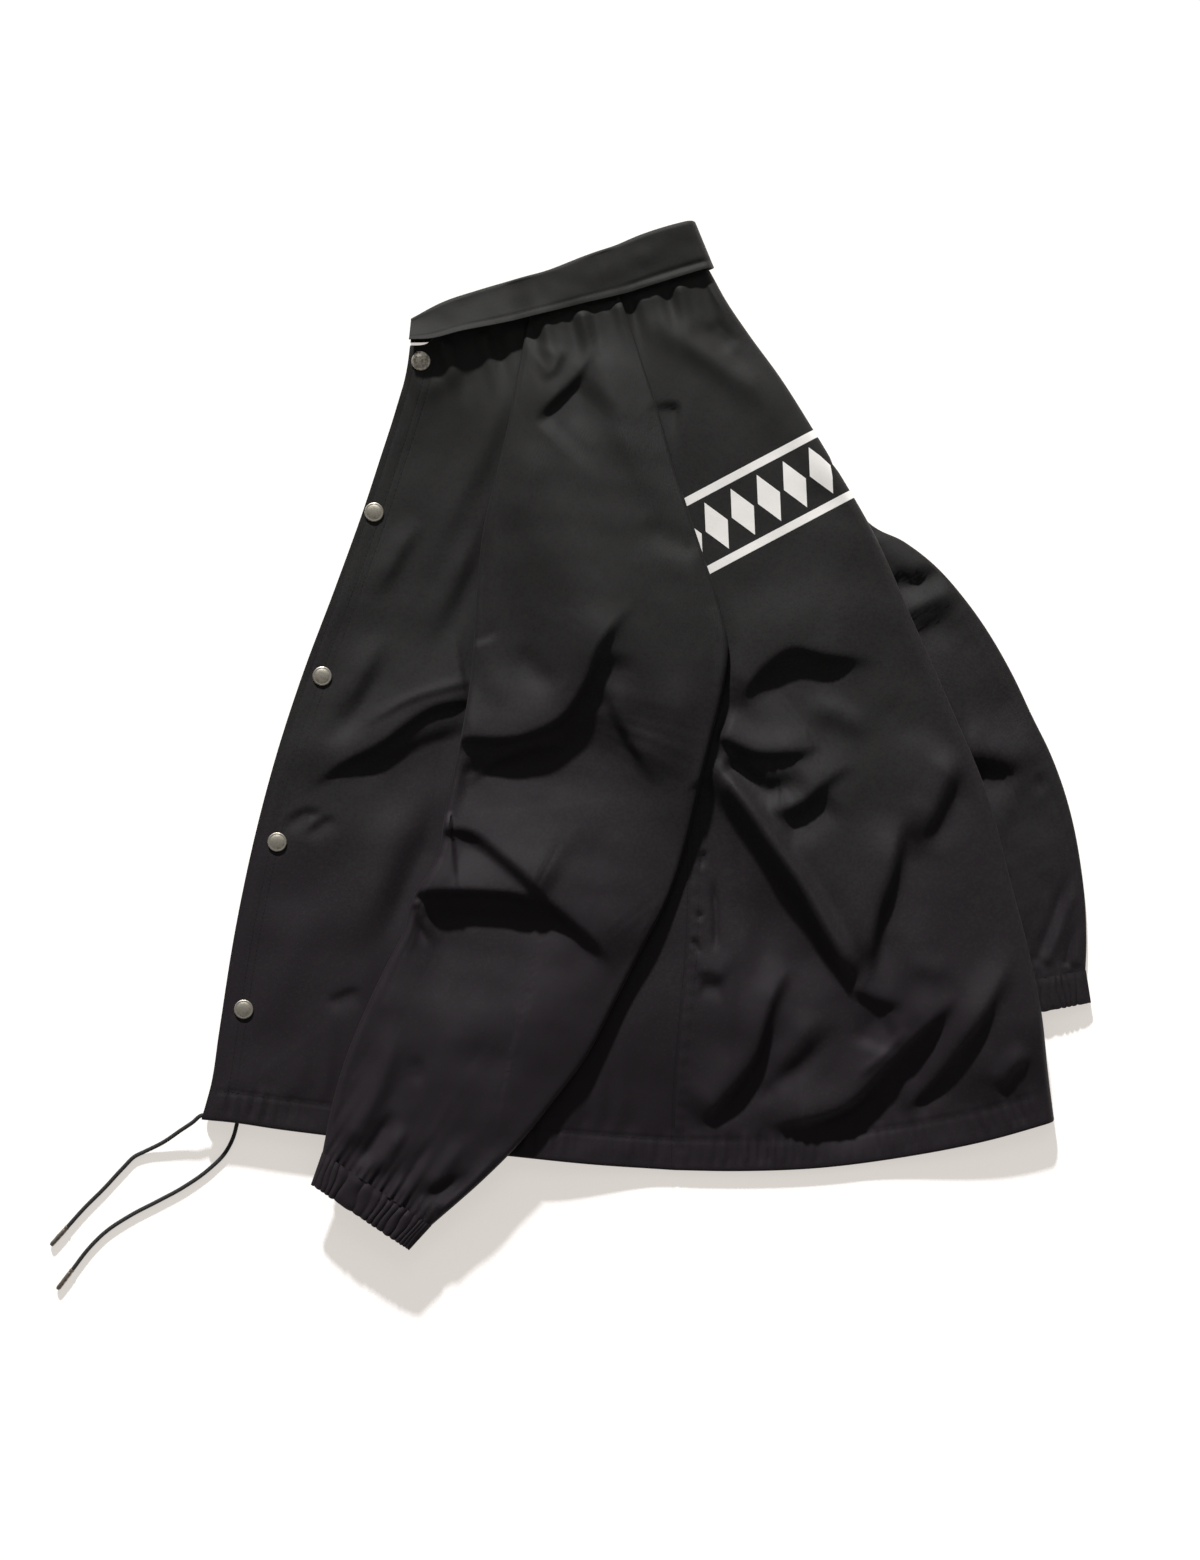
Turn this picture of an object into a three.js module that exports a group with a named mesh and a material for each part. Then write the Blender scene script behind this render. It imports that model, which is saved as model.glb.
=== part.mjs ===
import * as THREE from "three";

// A coach jacket laid on its right side, seen from above in the photo.
// Millimetres. X points to the photo's right, Y to the collar, Z up from the surface it lies on.

// Cloth and the room between layers
const CLOTH = 1.2;
const LAYER_STEP = 2.1; // from the middle of one cloth to the middle of the next, where they touch
const SLEEVE_STEP = 2.6; // the same from the body up to the sleeve that lies on it
const SEAM_HALF_GAP = 0.2;

// Heights of the pile
const BODY_GAP = 15; // between the lower and upper body panels at their edges
const BODY_PUFF = 2.5; // what the trapped air adds in the middle
const NECK_HEIGHT = 18; // of the upper panels where the collar is sewn on
const COLLAR_UNDER = 4.4; // room for the collar's lower half under everything else
const SLEEVE_RAMP = 80; // how far the lower panels take to come down beside the sleeve under them
const HEM_DROP = 10; // how far the upper sleeve sinks past the hem

// Hem, front overlap and folds
const HEM_TURN = 22; // height of the turned-up casing
const CASING_UPPER = 5.2; // between the two cloths of the casing, upper side
const CASING_LOWER = 2.4;
const BACK_FOLD = 6.5; // how far the fold at the centre back reaches out
const FRONT_FOLD = 4.5;
const FRONT_EDGE_OVER = 1.5; // the upper front stands this much past the fold under it
const OVERLAP = 17; // width of the lower front folded back under the upper one
const OVERLAP_DROP = 2.8; // from the upper front down to the folded overlap
const EDGE_SHARE = 0.62; // height of a sleeve at its folded edges, of its height in the middle
const ARMPIT_SHARE = 0.35; // place of the armpit along a body panel's seam edge

// Collar
const COLLAR_FOLD = 7; // how far the fold at the centre back reaches out
const COLLAR_STAND_SHARE = 0.84; // height of the stand, of the fall's
const COLLAR_FLARE = 8; // how far the fall stands off along its free edge
const COLLAR_ROLL_UPPER = 3.8; // between fall and stand at the roll, upper half
const COLLAR_ROLL_LOWER = 2.4;

// Trim
const SNAP_RADIUS = 7.6;
const SNAP_HEIGHT = 2.4;
const SOCKET_RADIUS = 6;
const SOCKET_HEIGHT = 1;
const SNAP_CLEAR = 0.45;
const CORD_RADIUS = 1.6;
const AGLET_RADIUS = 2;
const AGLET_LENGTH = 19;
const CUFF_CLOTH = 1.4;
const CUFF_GATHERS = 24;

// Outlines, one row per point
const FRONT_EDGE = [
  { x: -183.9, y: 303.4 },
  { x: -186.2, y: 285.9 },
  { x: -194.8, y: 254.7 },
  { x: -207.3, y: 215.7 },
  { x: -219.8, y: 177.5 },
  { x: -243.2, y: 112.7 },
  { x: -267.3, y: 48.8 },
  { x: -286.8, y: -10.5 },
  { x: -305.2, y: -79.2 },
  { x: -320.4, y: -151.7 },
  { x: -333.6, y: -235.2 },
  { x: -339.1, y: -271.8 },
  { x: -346.5, y: -299 },
];
const HEM_FRONT = [
  { x: -346.5, y: -299 },
  { x: -321.2, y: -301.5 },
  { x: -287.6, y: -306.5 },
  { x: -252.5, y: -311 },
  { x: -180, y: -320 },
  { x: -106.7, y: -327.5 },
  { x: -35.7, y: -335 },
  { x: 22.8, y: -339.2 },
];
const HEM_BACK = [
  { x: 22.8, y: -339.2 },
  { x: 69.6, y: -340 },
  { x: 135.9, y: -337.5 },
  { x: 201.4, y: -329 },
  { x: 267.7, y: -315.5 },
  { x: 319.2, y: -300.7 },
];
const CENTRE_BACK = [
  { x: 41, y: 376.5 },
  { x: 50, y: 361.5 },
  { x: 62, y: 339.7 },
  { x: 80.5, y: 312.4 },
  { x: 104.7, y: 278.9 },
  { x: 128.9, y: 240.6 },
  { x: 150, y: 205.5 },
  { x: 177.3, y: 158 },
  { x: 207.7, y: 90.1 },
  { x: 238.1, y: 21.4 },
  { x: 267, y: -48.8 },
  { x: 283.3, y: -110.4 },
  { x: 298.9, y: -170.4 },
  { x: 307.5, y: -211 },
  { x: 314.5, y: -266.4 },
  { x: 319.2, y: -300.7 },
];
const NECK_FRONT = [
  { x: -81, y: 340.4 },
  { x: -115.2, y: 331.1 },
  { x: -143.3, y: 322.5 },
  { x: -158.9, y: 315.5 },
  { x: -172.2, y: 304.6 },
  { x: -183.9, y: 303.4 },
];
const NECK_BACK = [
  { x: -31.7, y: 353 },
  { x: 3.3, y: 363.9 },
  { x: 25, y: 371.2 },
  { x: 41, y: 376.5 },
];
const SIDE_SEAM = [
  { x: 17.1, y: 63.5 },
  { x: 26.7, y: 26.9 },
  { x: 33.7, y: -27.7 },
  { x: 35.3, y: -94.8 },
  { x: 33.7, y: -164.2 },
  { x: 27.5, y: -234.4 },
  { x: 23.6, y: -285.1 },
  { x: 22.8, y: -339.2 },
];
const COLLAR_FREE_EDGE = [
  { x: -184.3, y: 307.3 },
  { x: -169.1, y: 307.7 },
  { x: -143.3, y: 313.9 },
  { x: -115.2, y: 319.4 },
  { x: -80.9, y: 327.2 },
  { x: -47.4, y: 335.8 },
  { x: -21.6, y: 342 },
  { x: 3.3, y: 349.8 },
  { x: 33.7, y: 359.2 },
  { x: 53.2, y: 365 },
];
const COLLAR_ROLL_EDGE = [
  { x: -183.1, y: 321.8 },
  { x: -157.4, y: 335.1 },
  { x: -131.6, y: 343.7 },
  { x: -105.1, y: 351.4 },
  { x: -77.8, y: 358.5 },
  { x: -47.4, y: 370.2 },
  { x: -24, y: 378.7 },
  { x: -3.7, y: 387.3 },
  { x: 20.5, y: 395.1 },
  { x: 38.6, y: 399.6 },
];

// Sleeves, one row per line across from the left fold to the right fold.
// front and back are the shares of that line where the front and back raglan seams cross it,
// and meet at the underarm seam below the armpit. thick is the sleeve's height there.
const LEFT_SLEEVE = [
  { lx: -87.2, ly: 338.9, rx: -25.5, ry: 354.5, front: 0.1, back: 0.9, thick: 3 },
  { lx: -95, ly: 303.8, rx: -10.7, ry: 312.4, front: 0.13, back: 0.926, thick: 5 },
  { lx: -101.2, ly: 272.6, rx: 0.2, ry: 278.9, front: 0.223, back: 0.908, thick: 7.5 },
  { lx: -106.7, ly: 241.4, rx: 11.1, ry: 245.3, front: 0.311, back: 0.894, thick: 9.5 },
  { lx: -116, ly: 202.4, rx: 21.3, ry: 209.4, front: 0.42, back: 0.892, thick: 11 },
  { lx: -126.2, ly: 159.5, rx: 32.2, ry: 175.1, front: 0.527, back: 0.882, thick: 12.5 },
  { lx: -130.8, ly: 116.6, rx: 43.9, ry: 140, front: 0.625, back: 0.853, thick: 13 },
  { lx: -133.2, ly: 77.6, rx: 55.6, ry: 104.9, front: 0.702, back: 0.81, thick: 13.5 },
  { lx: -136.3, ly: 42.5, rx: 63.4, ry: 69.8, front: 0.768, back: 0.768, thick: 13.5 },
  { lx: -141.8, ly: 7.4, rx: 59.5, ry: 34.7, front: 0.721, back: 0.721, thick: 13.5 },
  { lx: -148.8, ly: -27.7, rx: 50.9, ry: -0.4, front: 0.691, back: 0.691, thick: 13.5 },
  { lx: -155.8, ly: -58.9, rx: 42.3, ry: -37.1, front: 0.657, back: 0.657, thick: 13.5 },
  { lx: -162, ly: -94, rx: 31.4, ry: -83.9, front: 0.621, back: 0.621, thick: 13.5 },
  { lx: -180.8, ly: -127.5, rx: 17.4, ry: -126.8, front: 0.6, back: 0.6, thick: 13.5 },
  { lx: -188.6, ly: -154.1, rx: -3.7, ry: -168.1, front: 0.574, back: 0.574, thick: 13.5 },
  { lx: -201.8, ly: -179.8, rx: -26.3, ry: -212.6, front: 0.556, back: 0.556, thick: 13 },
  { lx: -215.9, ly: -209.4, rx: -47.4, ry: -252.3, front: 0.537, back: 0.537, thick: 13 },
  { lx: -228.3, ly: -238.3, rx: -73.1, ry: -286.7, front: 0.528, back: 0.528, thick: 12.5 },
  { lx: -237.7, ly: -264.8, rx: -98.1, ry: -317.9, front: 0.525, back: 0.525, thick: 12 },
  { lx: -245.5, ly: -294.4, rx: -129.3, ry: -349.1, front: 0.517, back: 0.517, thick: 11 },
  { lx: -251.7, ly: -325.7, rx: -167.5, ry: -382.6, front: 0.509, back: 0.509, thick: 9.5 },
];
const RIGHT_SLEEVE = [
  { lx: -87.2, ly: 338.9, rx: -25.5, ry: 354.5, front: 0.1, back: 0.9, thick: 2.6 },
  { lx: -91.8, ly: 303.8, rx: 3.3, ry: 321.8, front: 0.08, back: 0.77, thick: 3.6 },
  { lx: -87.9, ly: 264.8, rx: 38.4, ry: 290.6, front: 0.093, back: 0.617, thick: 5 },
  { lx: -78.6, ly: 221.9, rx: 75.1, ry: 257, front: 0.09, back: 0.513, thick: 7 },
  { lx: -64.5, ly: 176.7, rx: 112.5, ry: 224.2, front: 0.088, back: 0.414, thick: 8 },
  { lx: -43.5, ly: 129.9, rx: 146.1, ry: 195.4, front: 0.099, back: 0.317, thick: 8 },
  { lx: -13.8, ly: 73.7, rx: 176.5, ry: 164.2, front: 0.108, back: 0.176, thick: 8 },
  { lx: 0.2, ly: 55, rx: 202.2, ry: 150.9, front: 0.0866, back: 0.0866, thick: 8 },
  { lx: 26.7, ly: 17.6, rx: 226.4, ry: 132.2, front: 0.12, back: 0.12, thick: 8 },
  { lx: 56.4, ly: -19.9, rx: 247.5, ry: 108.8, front: 0.2, back: 0.2, thick: 8 },
  { lx: 93, ly: -60.5, rx: 267.7, ry: 80.7, front: 0.28, back: 0.28, thick: 8 },
  { lx: 129.7, ly: -96.3, rx: 286.5, ry: 48, front: 0.35, back: 0.35, thick: 8 },
  { lx: 164.8, ly: -126.8, rx: 302.8, ry: 13.7, front: 0.4, back: 0.4, thick: 8 },
  { lx: 192.9, ly: -148.6, rx: 316.9, ry: -15.2, front: 0.45, back: 0.45, thick: 8 },
  { lx: 213.1, ly: -164.2, rx: 328.6, ry: -47.2, front: 0.48, back: 0.48, thick: 8 },
  { lx: 229.5, ly: -175.9, rx: 337.2, ry: -82.3, front: 0.5, back: 0.5, thick: 8 },
  { lx: 242.8, ly: -186.8, rx: 343.4, ry: -125.2, front: 0.5, back: 0.5, thick: 8 },
  { lx: 251.4, ly: -194.6, rx: 345, ry: -160.3, front: 0.5, back: 0.5, thick: 8 },
  { lx: 257.6, ly: -199.3, rx: 344.2, ry: -184.5, front: 0.5, back: 0.5, thick: 8 },
];
const LEFT_CUFF_END = { lx: -260.3, ly: -350.6, rx: -184.7, ry: -401.3 };
const RIGHT_CUFF_END = { lx: 262.3, ly: -225.8, rx: 348.1, ry: -209.4 };

// Folds, one row per straight stretch: height is positive for a ridge and negative for a trough
const BODY_FOLDS = [
  { x0: 48.6, y0: -22.2, x1: 171, y1: -195.4, height: 6, width: 15 },
  { x0: 109.4, y0: -183.7, x1: 36.9, y1: -300.7, height: -3.5, width: 15 },
  { x0: 54, y0: -0.4, x1: 137.5, y1: -11.3, height: 4, width: 13 },
  { x0: 75.9, y0: 33.2, x1: 112.5, y1: 67.5, height: -3, width: 14 },
  { x0: 112.5, y0: 67.5, x1: 178.8, y1: 58.9, height: -3, width: 14 },
  { x0: 10.3, y0: 331.9, x1: 85.2, y1: 275, height: 3, width: 15 },
  { x0: 181.9, y0: -245.3, x1: 245.1, y1: -207.1, height: 3.5, width: 15 },
  { x0: 240.4, y0: -22.2, x1: 215.5, y1: -83.9, height: -3, width: 15 },
  { x0: 198.3, y0: -55.8, x1: 171, y1: -183.7, height: -3, width: 15 },
  { x0: -204.2, y0: 16, x1: -150, y1: 36, height: 3, width: 14 },
  { x0: -258, y0: -39.4, x1: -180, y1: 5.1, height: -3, width: 15 },
  { x0: -150, y0: 215, x1: -215, y1: 80, height: 3, width: 24 },
];
const LEFT_SLEEVE_FOLDS = [
  { x0: -100, y0: 144.7, x1: 28, y1: 138.4, height: 5, width: 17 },
  { x0: -24, y0: 88.5, x1: -38, y1: 5.1, height: -5, width: 17 },
  { x0: -38, y0: 5.1, x1: -120, y1: -11.3, height: -4, width: 17 },
  { x0: -123.8, y0: -94.8, x1: -68.4, y1: -144.7, height: -4, width: 14 },
  { x0: -68.4, y0: -144.7, x1: -29.4, y1: -183.7, height: -3, width: 14 },
  { x0: -113.7, y0: -70, x1: -45, y1: -125, height: 4, width: 15 },
  { x0: -165, y0: -123.6, x1: -100, y1: -119.7, height: 4, width: 13 },
  { x0: -165, y0: -144, x1: -92, y1: -142, height: -3.5, width: 12 },
  { x0: -229.9, y0: -318, x1: -201.8, y1: -278.9, height: 3, width: 11 },
  { x0: -190, y0: -356, x1: -145, y1: -342, height: -2.5, width: 10 },
];
const RIGHT_SLEEVE_FOLDS = [
  { x0: 205, y0: 128, x1: 245.1, y1: 104, height: 3, width: 13 },
  { x0: 259.9, y0: -30.8, x1: 295, y1: -22, height: -3, width: 12 },
  { x0: 317.7, y0: -165, x1: 330, y1: -110.4, height: 3, width: 11 },
];

const SNAPS = [
  { name: "1", x: -175.6, y: 291.3 },
  { name: "2", x: -212, y: 173.6 },
  { name: "3", x: -252.5, y: 45.6 },
  { name: "4", x: -287.6, y: -83.9 },
  { name: "5", x: -313.8, y: -214.5 },
];
const CORD_A = [
  { x: -341, y: -297.4, z: 13 },
  { x: -347, y: -297.6, z: 12.9 },
  { x: -354, y: -303, z: 11.4 },
  { x: -363.3, y: -309.3, z: 8.6 },
  { x: -378.1, y: -319.4, z: 4.6 },
  { x: -392, y: -326.4, z: 2.2 },
  { x: -400.5, y: -330.6, z: 1.7 },
  { x: -409, y: -339, z: 1.7 },
  { x: -424.1, y: -355.3, z: 1.7 },
  { x: -440.5, y: -371.7, z: 1.9 },
  { x: -453, y: -385.7, z: 2.1 },
];
const CORD_B = [
  { x: -317, y: -286, z: 6.6 },
  { x: -318, y: -296, z: 6.6 },
  { x: -320, y: -305, z: 6.2 },
  { x: -322.7, y: -314.7, z: 4 },
  { x: -329.7, y: -328, z: 2 },
  { x: -342.2, y: -340.5, z: 1.7 },
  { x: -363.3, y: -355.3, z: 1.7 },
  { x: -382, y: -365.4, z: 1.7 },
  { x: -403.1, y: -376.4, z: 1.7 },
  { x: -424.1, y: -390.4, z: 1.7 },
  { x: -436.6, y: -402.9, z: 1.9 },
  { x: -449.1, y: -419.2, z: 2.1 },
];

const mix = (a, b, share) => a + (b - a) * share;

// Goes from 0 to 1 between two values, flat at both ends.
function ease(from, to, value) {
  const share = Math.min(1, Math.max(0, (value - from) / (to - from)));
  return share * share * (3 - 2 * share);
}

// A smooth function through values given at rising knots.
function smooth(knots, values) {
  const last = knots.length - 1;
  const steps = values.slice(1).map((value, i) => (value - values[i]) / (knots[i + 1] - knots[i]));
  const slopes = values.map((value, i) => {
    if (i === 0) return steps[0];
    if (i === last) return steps[last - 1];
    const before = knots[i] - knots[i - 1];
    const after = knots[i + 1] - knots[i];
    return (steps[i - 1] * after + steps[i] * before) / (before + after);
  });
  return (at) => {
    let i = 0;
    while (i < last - 1 && at > knots[i + 1]) i += 1;
    const span = knots[i + 1] - knots[i];
    const s = (at - knots[i]) / span;
    const blend = s * s * (3 - 2 * s);
    const bend = slopes[i] * (1 - s) - slopes[i + 1] * s;
    return mix(values[i], values[i + 1], blend) + span * s * (1 - s) * bend;
  };
}

// A smooth curve through the rows; share 0 is its first row and share 1 its last.
function curveThrough(rows) {
  const knots = [0];
  rows.slice(1).forEach((row, i) => {
    knots.push(knots[i] + Math.hypot(row.x - rows[i].x, row.y - rows[i].y));
  });
  const length = knots[knots.length - 1];
  const x = smooth(knots, rows.map((row) => row.x));
  const y = smooth(knots, rows.map((row) => row.y));
  return (share) => ({ x: x(share * length), y: y(share * length) });
}

// The seam edge of a body panel: the raglan seam down to the armpit, then the side seam.
function seamEdge(raglan, side) {
  const upper = curveThrough(raglan);
  const lower = curveThrough(side);
  return (share) => {
    if (share < ARMPIT_SHARE) return upper(share / ARMPIT_SHARE);
    return lower((share - ARMPIT_SHARE) / (1 - ARMPIT_SHARE));
  };
}

// The patch of cloth between four curves, as a point for each pair of shares.
function patchBetween(top, bottom, start, end) {
  const a = top(0);
  const b = top(1);
  const c = bottom(0);
  const d = bottom(1);
  return (u, v) => {
    const across = (key) => mix(top(u)[key], bottom(u)[key], v);
    const down = (key) => mix(start(v)[key], end(v)[key], u);
    const corners = (key) => mix(mix(a[key], b[key], u), mix(c[key], d[key], u), v);
    return {
      x: across("x") + down("x") - corners("x"),
      y: across("y") + down("y") - corners("y"),
    };
  };
}

// How far a point is inside an outline; negative outside it.
function insideOf(outline) {
  return (x, y) => {
    let nearest = Infinity;
    let within = false;
    outline.forEach((p, i) => {
      const q = outline[(i + 1) % outline.length];
      const dx = q.x - p.x;
      const dy = q.y - p.y;
      const along = ((x - p.x) * dx + (y - p.y) * dy) / (dx * dx + dy * dy || 1);
      const share = Math.min(1, Math.max(0, along));
      nearest = Math.min(nearest, Math.hypot(x - p.x - share * dx, y - p.y - share * dy));
      if (p.y > y !== q.y > y && x < p.x + ((y - p.y) / dy) * dx) within = !within;
    });
    return within ? nearest : -nearest;
  };
}

// The height that a table of folds adds at a point.
function foldsAt(folds, x, y) {
  return folds.reduce((sum, fold) => {
    const dx = fold.x1 - fold.x0;
    const dy = fold.y1 - fold.y0;
    const along = ((x - fold.x0) * dx + (y - fold.y0) * dy) / (dx * dx + dy * dy);
    const share = Math.min(1, Math.max(0, along));
    const away = Math.hypot(x - fold.x0 - share * dx, y - fold.y0 - share * dy);
    return sum + fold.height * Math.exp(-((away / fold.width) ** 2));
  }, 0);
}

const sleeveOutline = (rows, end) => [
  ...rows.map((row) => ({ x: row.lx, y: row.ly })),
  { x: end.lx, y: end.ly },
  { x: end.rx, y: end.ry },
  ...rows.map((row) => ({ x: row.rx, y: row.ry })).reverse(),
];
const raglanPoint = (row, share) => ({
  x: mix(row.lx, row.rx, share),
  y: mix(row.ly, row.ry, share),
});
const RAGLAN_ROWS = LEFT_SLEEVE.slice(0, 9);
const FRONT_RAGLAN = RAGLAN_ROWS.map((row) => raglanPoint(row, row.front));
const BACK_RAGLAN = RAGLAN_ROWS.map((row) => raglanPoint(row, row.back));

const insideCollar = insideOf([...COLLAR_FREE_EDGE, ...[...COLLAR_ROLL_EDGE].reverse()]);
const insideRightSleeve = insideOf(sleeveOutline(RIGHT_SLEEVE, RIGHT_CUFF_END));
const insideLeftSleeve = insideOf(sleeveOutline(LEFT_SLEEVE, LEFT_CUFF_END));
const insideBody = insideOf([
  ...[...FRONT_EDGE].reverse(),
  { x: -87, y: 345 },
  ...CENTRE_BACK,
  ...[...HEM_BACK].reverse(),
  ...[...HEM_FRONT].reverse(),
]);
const belowCollar = (x, y) => Math.max(0, -insideCollar(x, y));

// Middle heights of the layers, from the lowest up
const lowest = (x, y) => CLOTH / 2 + COLLAR_UNDER * (1 - ease(0, 70, belowCollar(x, y)));
const rightSleeveRoom = (x, y) => LAYER_STEP + 2.6 + 6.2 * ease(0, 125, belowCollar(x, y));
function lowerPanel(x, y) {
  return lowest(x, y) + rightSleeveRoom(x, y) * ease(-SLEEVE_RAMP, 0, insideRightSleeve(x, y));
}
function upperPanel(x, y) {
  const open = ease(-12, 22, -insideLeftSleeve(x, y)) * ease(4, 28, insideBody(x, y));
  const puff = BODY_PUFF * ease(0, 90, insideBody(x, y));
  const height = lowerPanel(x, y) + BODY_GAP + puff + foldsAt(BODY_FOLDS, x, y) * open;
  return mix(NECK_HEIGHT, height, ease(0, 70, belowCollar(x, y)));
}
const hemFrontCurve = curveThrough(HEM_FRONT);
function hemDistance(x, y) {
  let nearest = Infinity;
  for (let i = 0; i <= 60; i += 1) {
    const point = hemFrontCurve(i / 60);
    nearest = Math.min(nearest, Math.hypot(x - point.x, y - point.y));
  }
  return nearest;
}
// The edge of the lower front, folded back under the upper front.
function foldedOverlap(x, y) {
  const nearHem = 1 - ease(HEM_TURN + 4, HEM_TURN + 45, hemDistance(x, y));
  return upperPanel(x, y) - OVERLAP_DROP - (CASING_UPPER - 0.8) * nearHem;
}
function upperSleeveBase(x, y) {
  return upperPanel(x, y) + SLEEVE_STEP - HEM_DROP * ease(0, 100, -insideBody(x, y));
}

const unit = (from, to) => {
  const length = Math.hypot(to.x - from.x, to.y - from.y);
  return { x: (to.x - from.x) / length, y: (to.y - from.y) / length };
};

// A wall of cloth: a grid of middle points moved out to both sides, closed along its edges.
// A closed grid joins its last column to its first.
function wall(grid, thickness, closed = false) {
  const rows = grid.length;
  const columns = grid[0].length;
  const at = (i, j) => {
    const row = Math.min(rows - 1, Math.max(0, i));
    const column = closed ? (j + columns) % columns : Math.min(columns - 1, Math.max(0, j));
    return grid[row][column];
  };
  const positions = [];
  [1, -1].forEach((side) => {
    for (let i = 0; i < rows; i += 1) {
      for (let j = 0; j < columns; j += 1) {
        const down = new THREE.Vector3().subVectors(at(i + 1, j), at(i - 1, j));
        const across = new THREE.Vector3().subVectors(at(i, j + 1), at(i, j - 1));
        const normal = across.cross(down).normalize();
        const point = at(i, j).clone().addScaledVector(normal, (side * thickness) / 2);
        positions.push(point.x, point.y, point.z);
      }
    }
  });
  const index = [];
  const other = rows * columns;
  const quad = (a, b, c, d) => index.push(a, b, c, a, c, d);
  const spans = closed ? columns : columns - 1;
  for (let i = 0; i < rows - 1; i += 1) {
    for (let j = 0; j < spans; j += 1) {
      const a = i * columns + j;
      const b = i * columns + ((j + 1) % columns);
      const c = b + columns;
      const d = a + columns;
      quad(a, b, c, d);
      quad(other + d, other + c, other + b, other + a);
    }
  }
  for (let j = 0; j < spans; j += 1) {
    const next = (j + 1) % columns;
    const last = (rows - 1) * columns;
    quad(j, other + j, other + next, next);
    quad(last + next, other + last + next, other + last + j, last + j);
  }
  if (!closed) {
    for (let i = 0; i < rows - 1; i += 1) {
      const a = i * columns;
      const b = a + columns;
      quad(b, other + b, other + a, a);
      quad(a + columns - 1, other + a + columns - 1, other + b + columns - 1, b + columns - 1);
    }
  }
  return facingOut(positions, index);
}

// Turns the faces round if the closed mesh would hold a negative volume.
function facingOut(positions, index) {
  let volume = 0;
  const corner = (k) => new THREE.Vector3().fromArray(positions, index[k] * 3);
  for (let k = 0; k < index.length; k += 3) {
    volume += corner(k).dot(corner(k + 1).cross(corner(k + 2)));
  }
  const geometry = new THREE.BufferGeometry();
  geometry.setAttribute("position", new THREE.Float32BufferAttribute(positions, 3));
  geometry.setIndex(volume < 0 ? index.reverse() : index);
  geometry.computeVertexNormals();
  return geometry;
}

const evenly = (count, from = 0, to = 1) =>
  Array.from({ length: count + 1 }, (_, i) => mix(from, to, i / count));

// The rows of a body panel: down to the hem, round its fold, and up the casing.
const PANEL_ROWS = [
  ...[0, 0.025, 0.05, 0.08, 0.115, 0.15, 0.2, 0.25, 0.3].map((v) => ({ v, hem: 0, up: 0 })),
  ...evenly(13, ARMPIT_SHARE, 1).map((v) => ({ v, hem: 0, up: 0 })),
  ...[0.3, 0.6, 1].map((turn) => ({ v: 1, hem: turn * Math.PI, up: 0 })),
  ...[0.5, 1].map((share) => ({ v: 1, hem: Math.PI, up: share * HEM_TURN })),
];

// A body cloth. A column's turn is 0 on the upper side and pi on the lower side; the fold between
// them reaches out past the end of the patch. share runs from the seam to the fold, and offset
// is a distance back from the fold.
function bodyCloth({ patch, columns, high, low, reach, end = 0 }) {
  const grid = PANEL_ROWS.map((row) => {
    const length = Math.hypot(patch(0.5, 1).x - patch(0.5, 0).x, patch(0.5, 1).y - patch(0.5, 0).y);
    const v = row.v - row.up / length;
    const width = Math.hypot(patch(1, v).x - patch(0, v).x, patch(1, v).y - patch(0, v).y);
    const first = SEAM_HALF_GAP / width;
    const last = 1 - (reach + end) / width;
    const outward = unit(patch(0.97, v), patch(1, v));
    return columns.map((column) => {
      const u = mix(first, last, column.share ?? 1) - (column.offset ?? 0) / width;
      const point = patch(u, v);
      const down = unit(patch(u, 0.97), patch(u, 1));
      const casing = mix(CASING_UPPER, CASING_LOWER, low ? column.turn / Math.PI : 0);
      const room = column.offset === undefined ? casing : CASING_LOWER;
      const deep = (room * (1 - Math.cos(row.hem))) / 2;
      const push = (room / 2) * Math.sin(row.hem);
      const top = high(point.x, point.y);
      const bottom = low ? low(point.x, point.y) : top;
      const half = low ? (top - bottom) / 2 - deep : -deep;
      const z = low ? (top + bottom) / 2 + half * Math.cos(column.turn) : top - deep;
      const side = (reach - deep) * Math.sin(column.turn);
      return new THREE.Vector3(
        point.x + outward.x * side + down.x * push,
        point.y + outward.y * side + down.y * push,
        z,
      );
    });
  });
  return wall(grid, CLOTH);
}

const frontPatch = patchBetween(
  curveThrough(NECK_FRONT),
  curveThrough([...HEM_FRONT].reverse()),
  seamEdge(FRONT_RAGLAN, SIDE_SEAM),
  curveThrough(FRONT_EDGE),
);
const backPatch = patchBetween(
  curveThrough(NECK_BACK),
  curveThrough(HEM_BACK),
  seamEdge(BACK_RAGLAN, SIDE_SEAM),
  curveThrough(CENTRE_BACK),
);
const FOLD_TURNS = [0.25, 0.5, 0.75].map((share) => share * Math.PI);

const leftFront = bodyCloth({
  patch: frontPatch,
  columns: evenly(16).map((share) => ({ share, turn: 0 })),
  high: upperPanel,
  reach: 0,
});
const rightFront = bodyCloth({
  patch: frontPatch,
  columns: [
    ...evenly(8).map((share) => ({ share, turn: Math.PI })),
    ...[...FOLD_TURNS].reverse().map((turn) => ({ turn })),
    ...[0, OVERLAP / 2, OVERLAP].map((offset) => ({ offset, turn: 0 })),
  ],
  high: foldedOverlap,
  low: lowerPanel,
  reach: FRONT_FOLD,
  end: FRONT_EDGE_OVER,
});
const back = bodyCloth({
  patch: backPatch,
  columns: [
    ...evenly(12).map((share) => ({ share, turn: 0 })),
    ...FOLD_TURNS.map((turn) => ({ turn })),
    ...evenly(7, 1, 0).map((share) => ({ share, turn: Math.PI })),
  ],
  high: upperPanel,
  low: lowerPanel,
  reach: BACK_FOLD,
});

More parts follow.
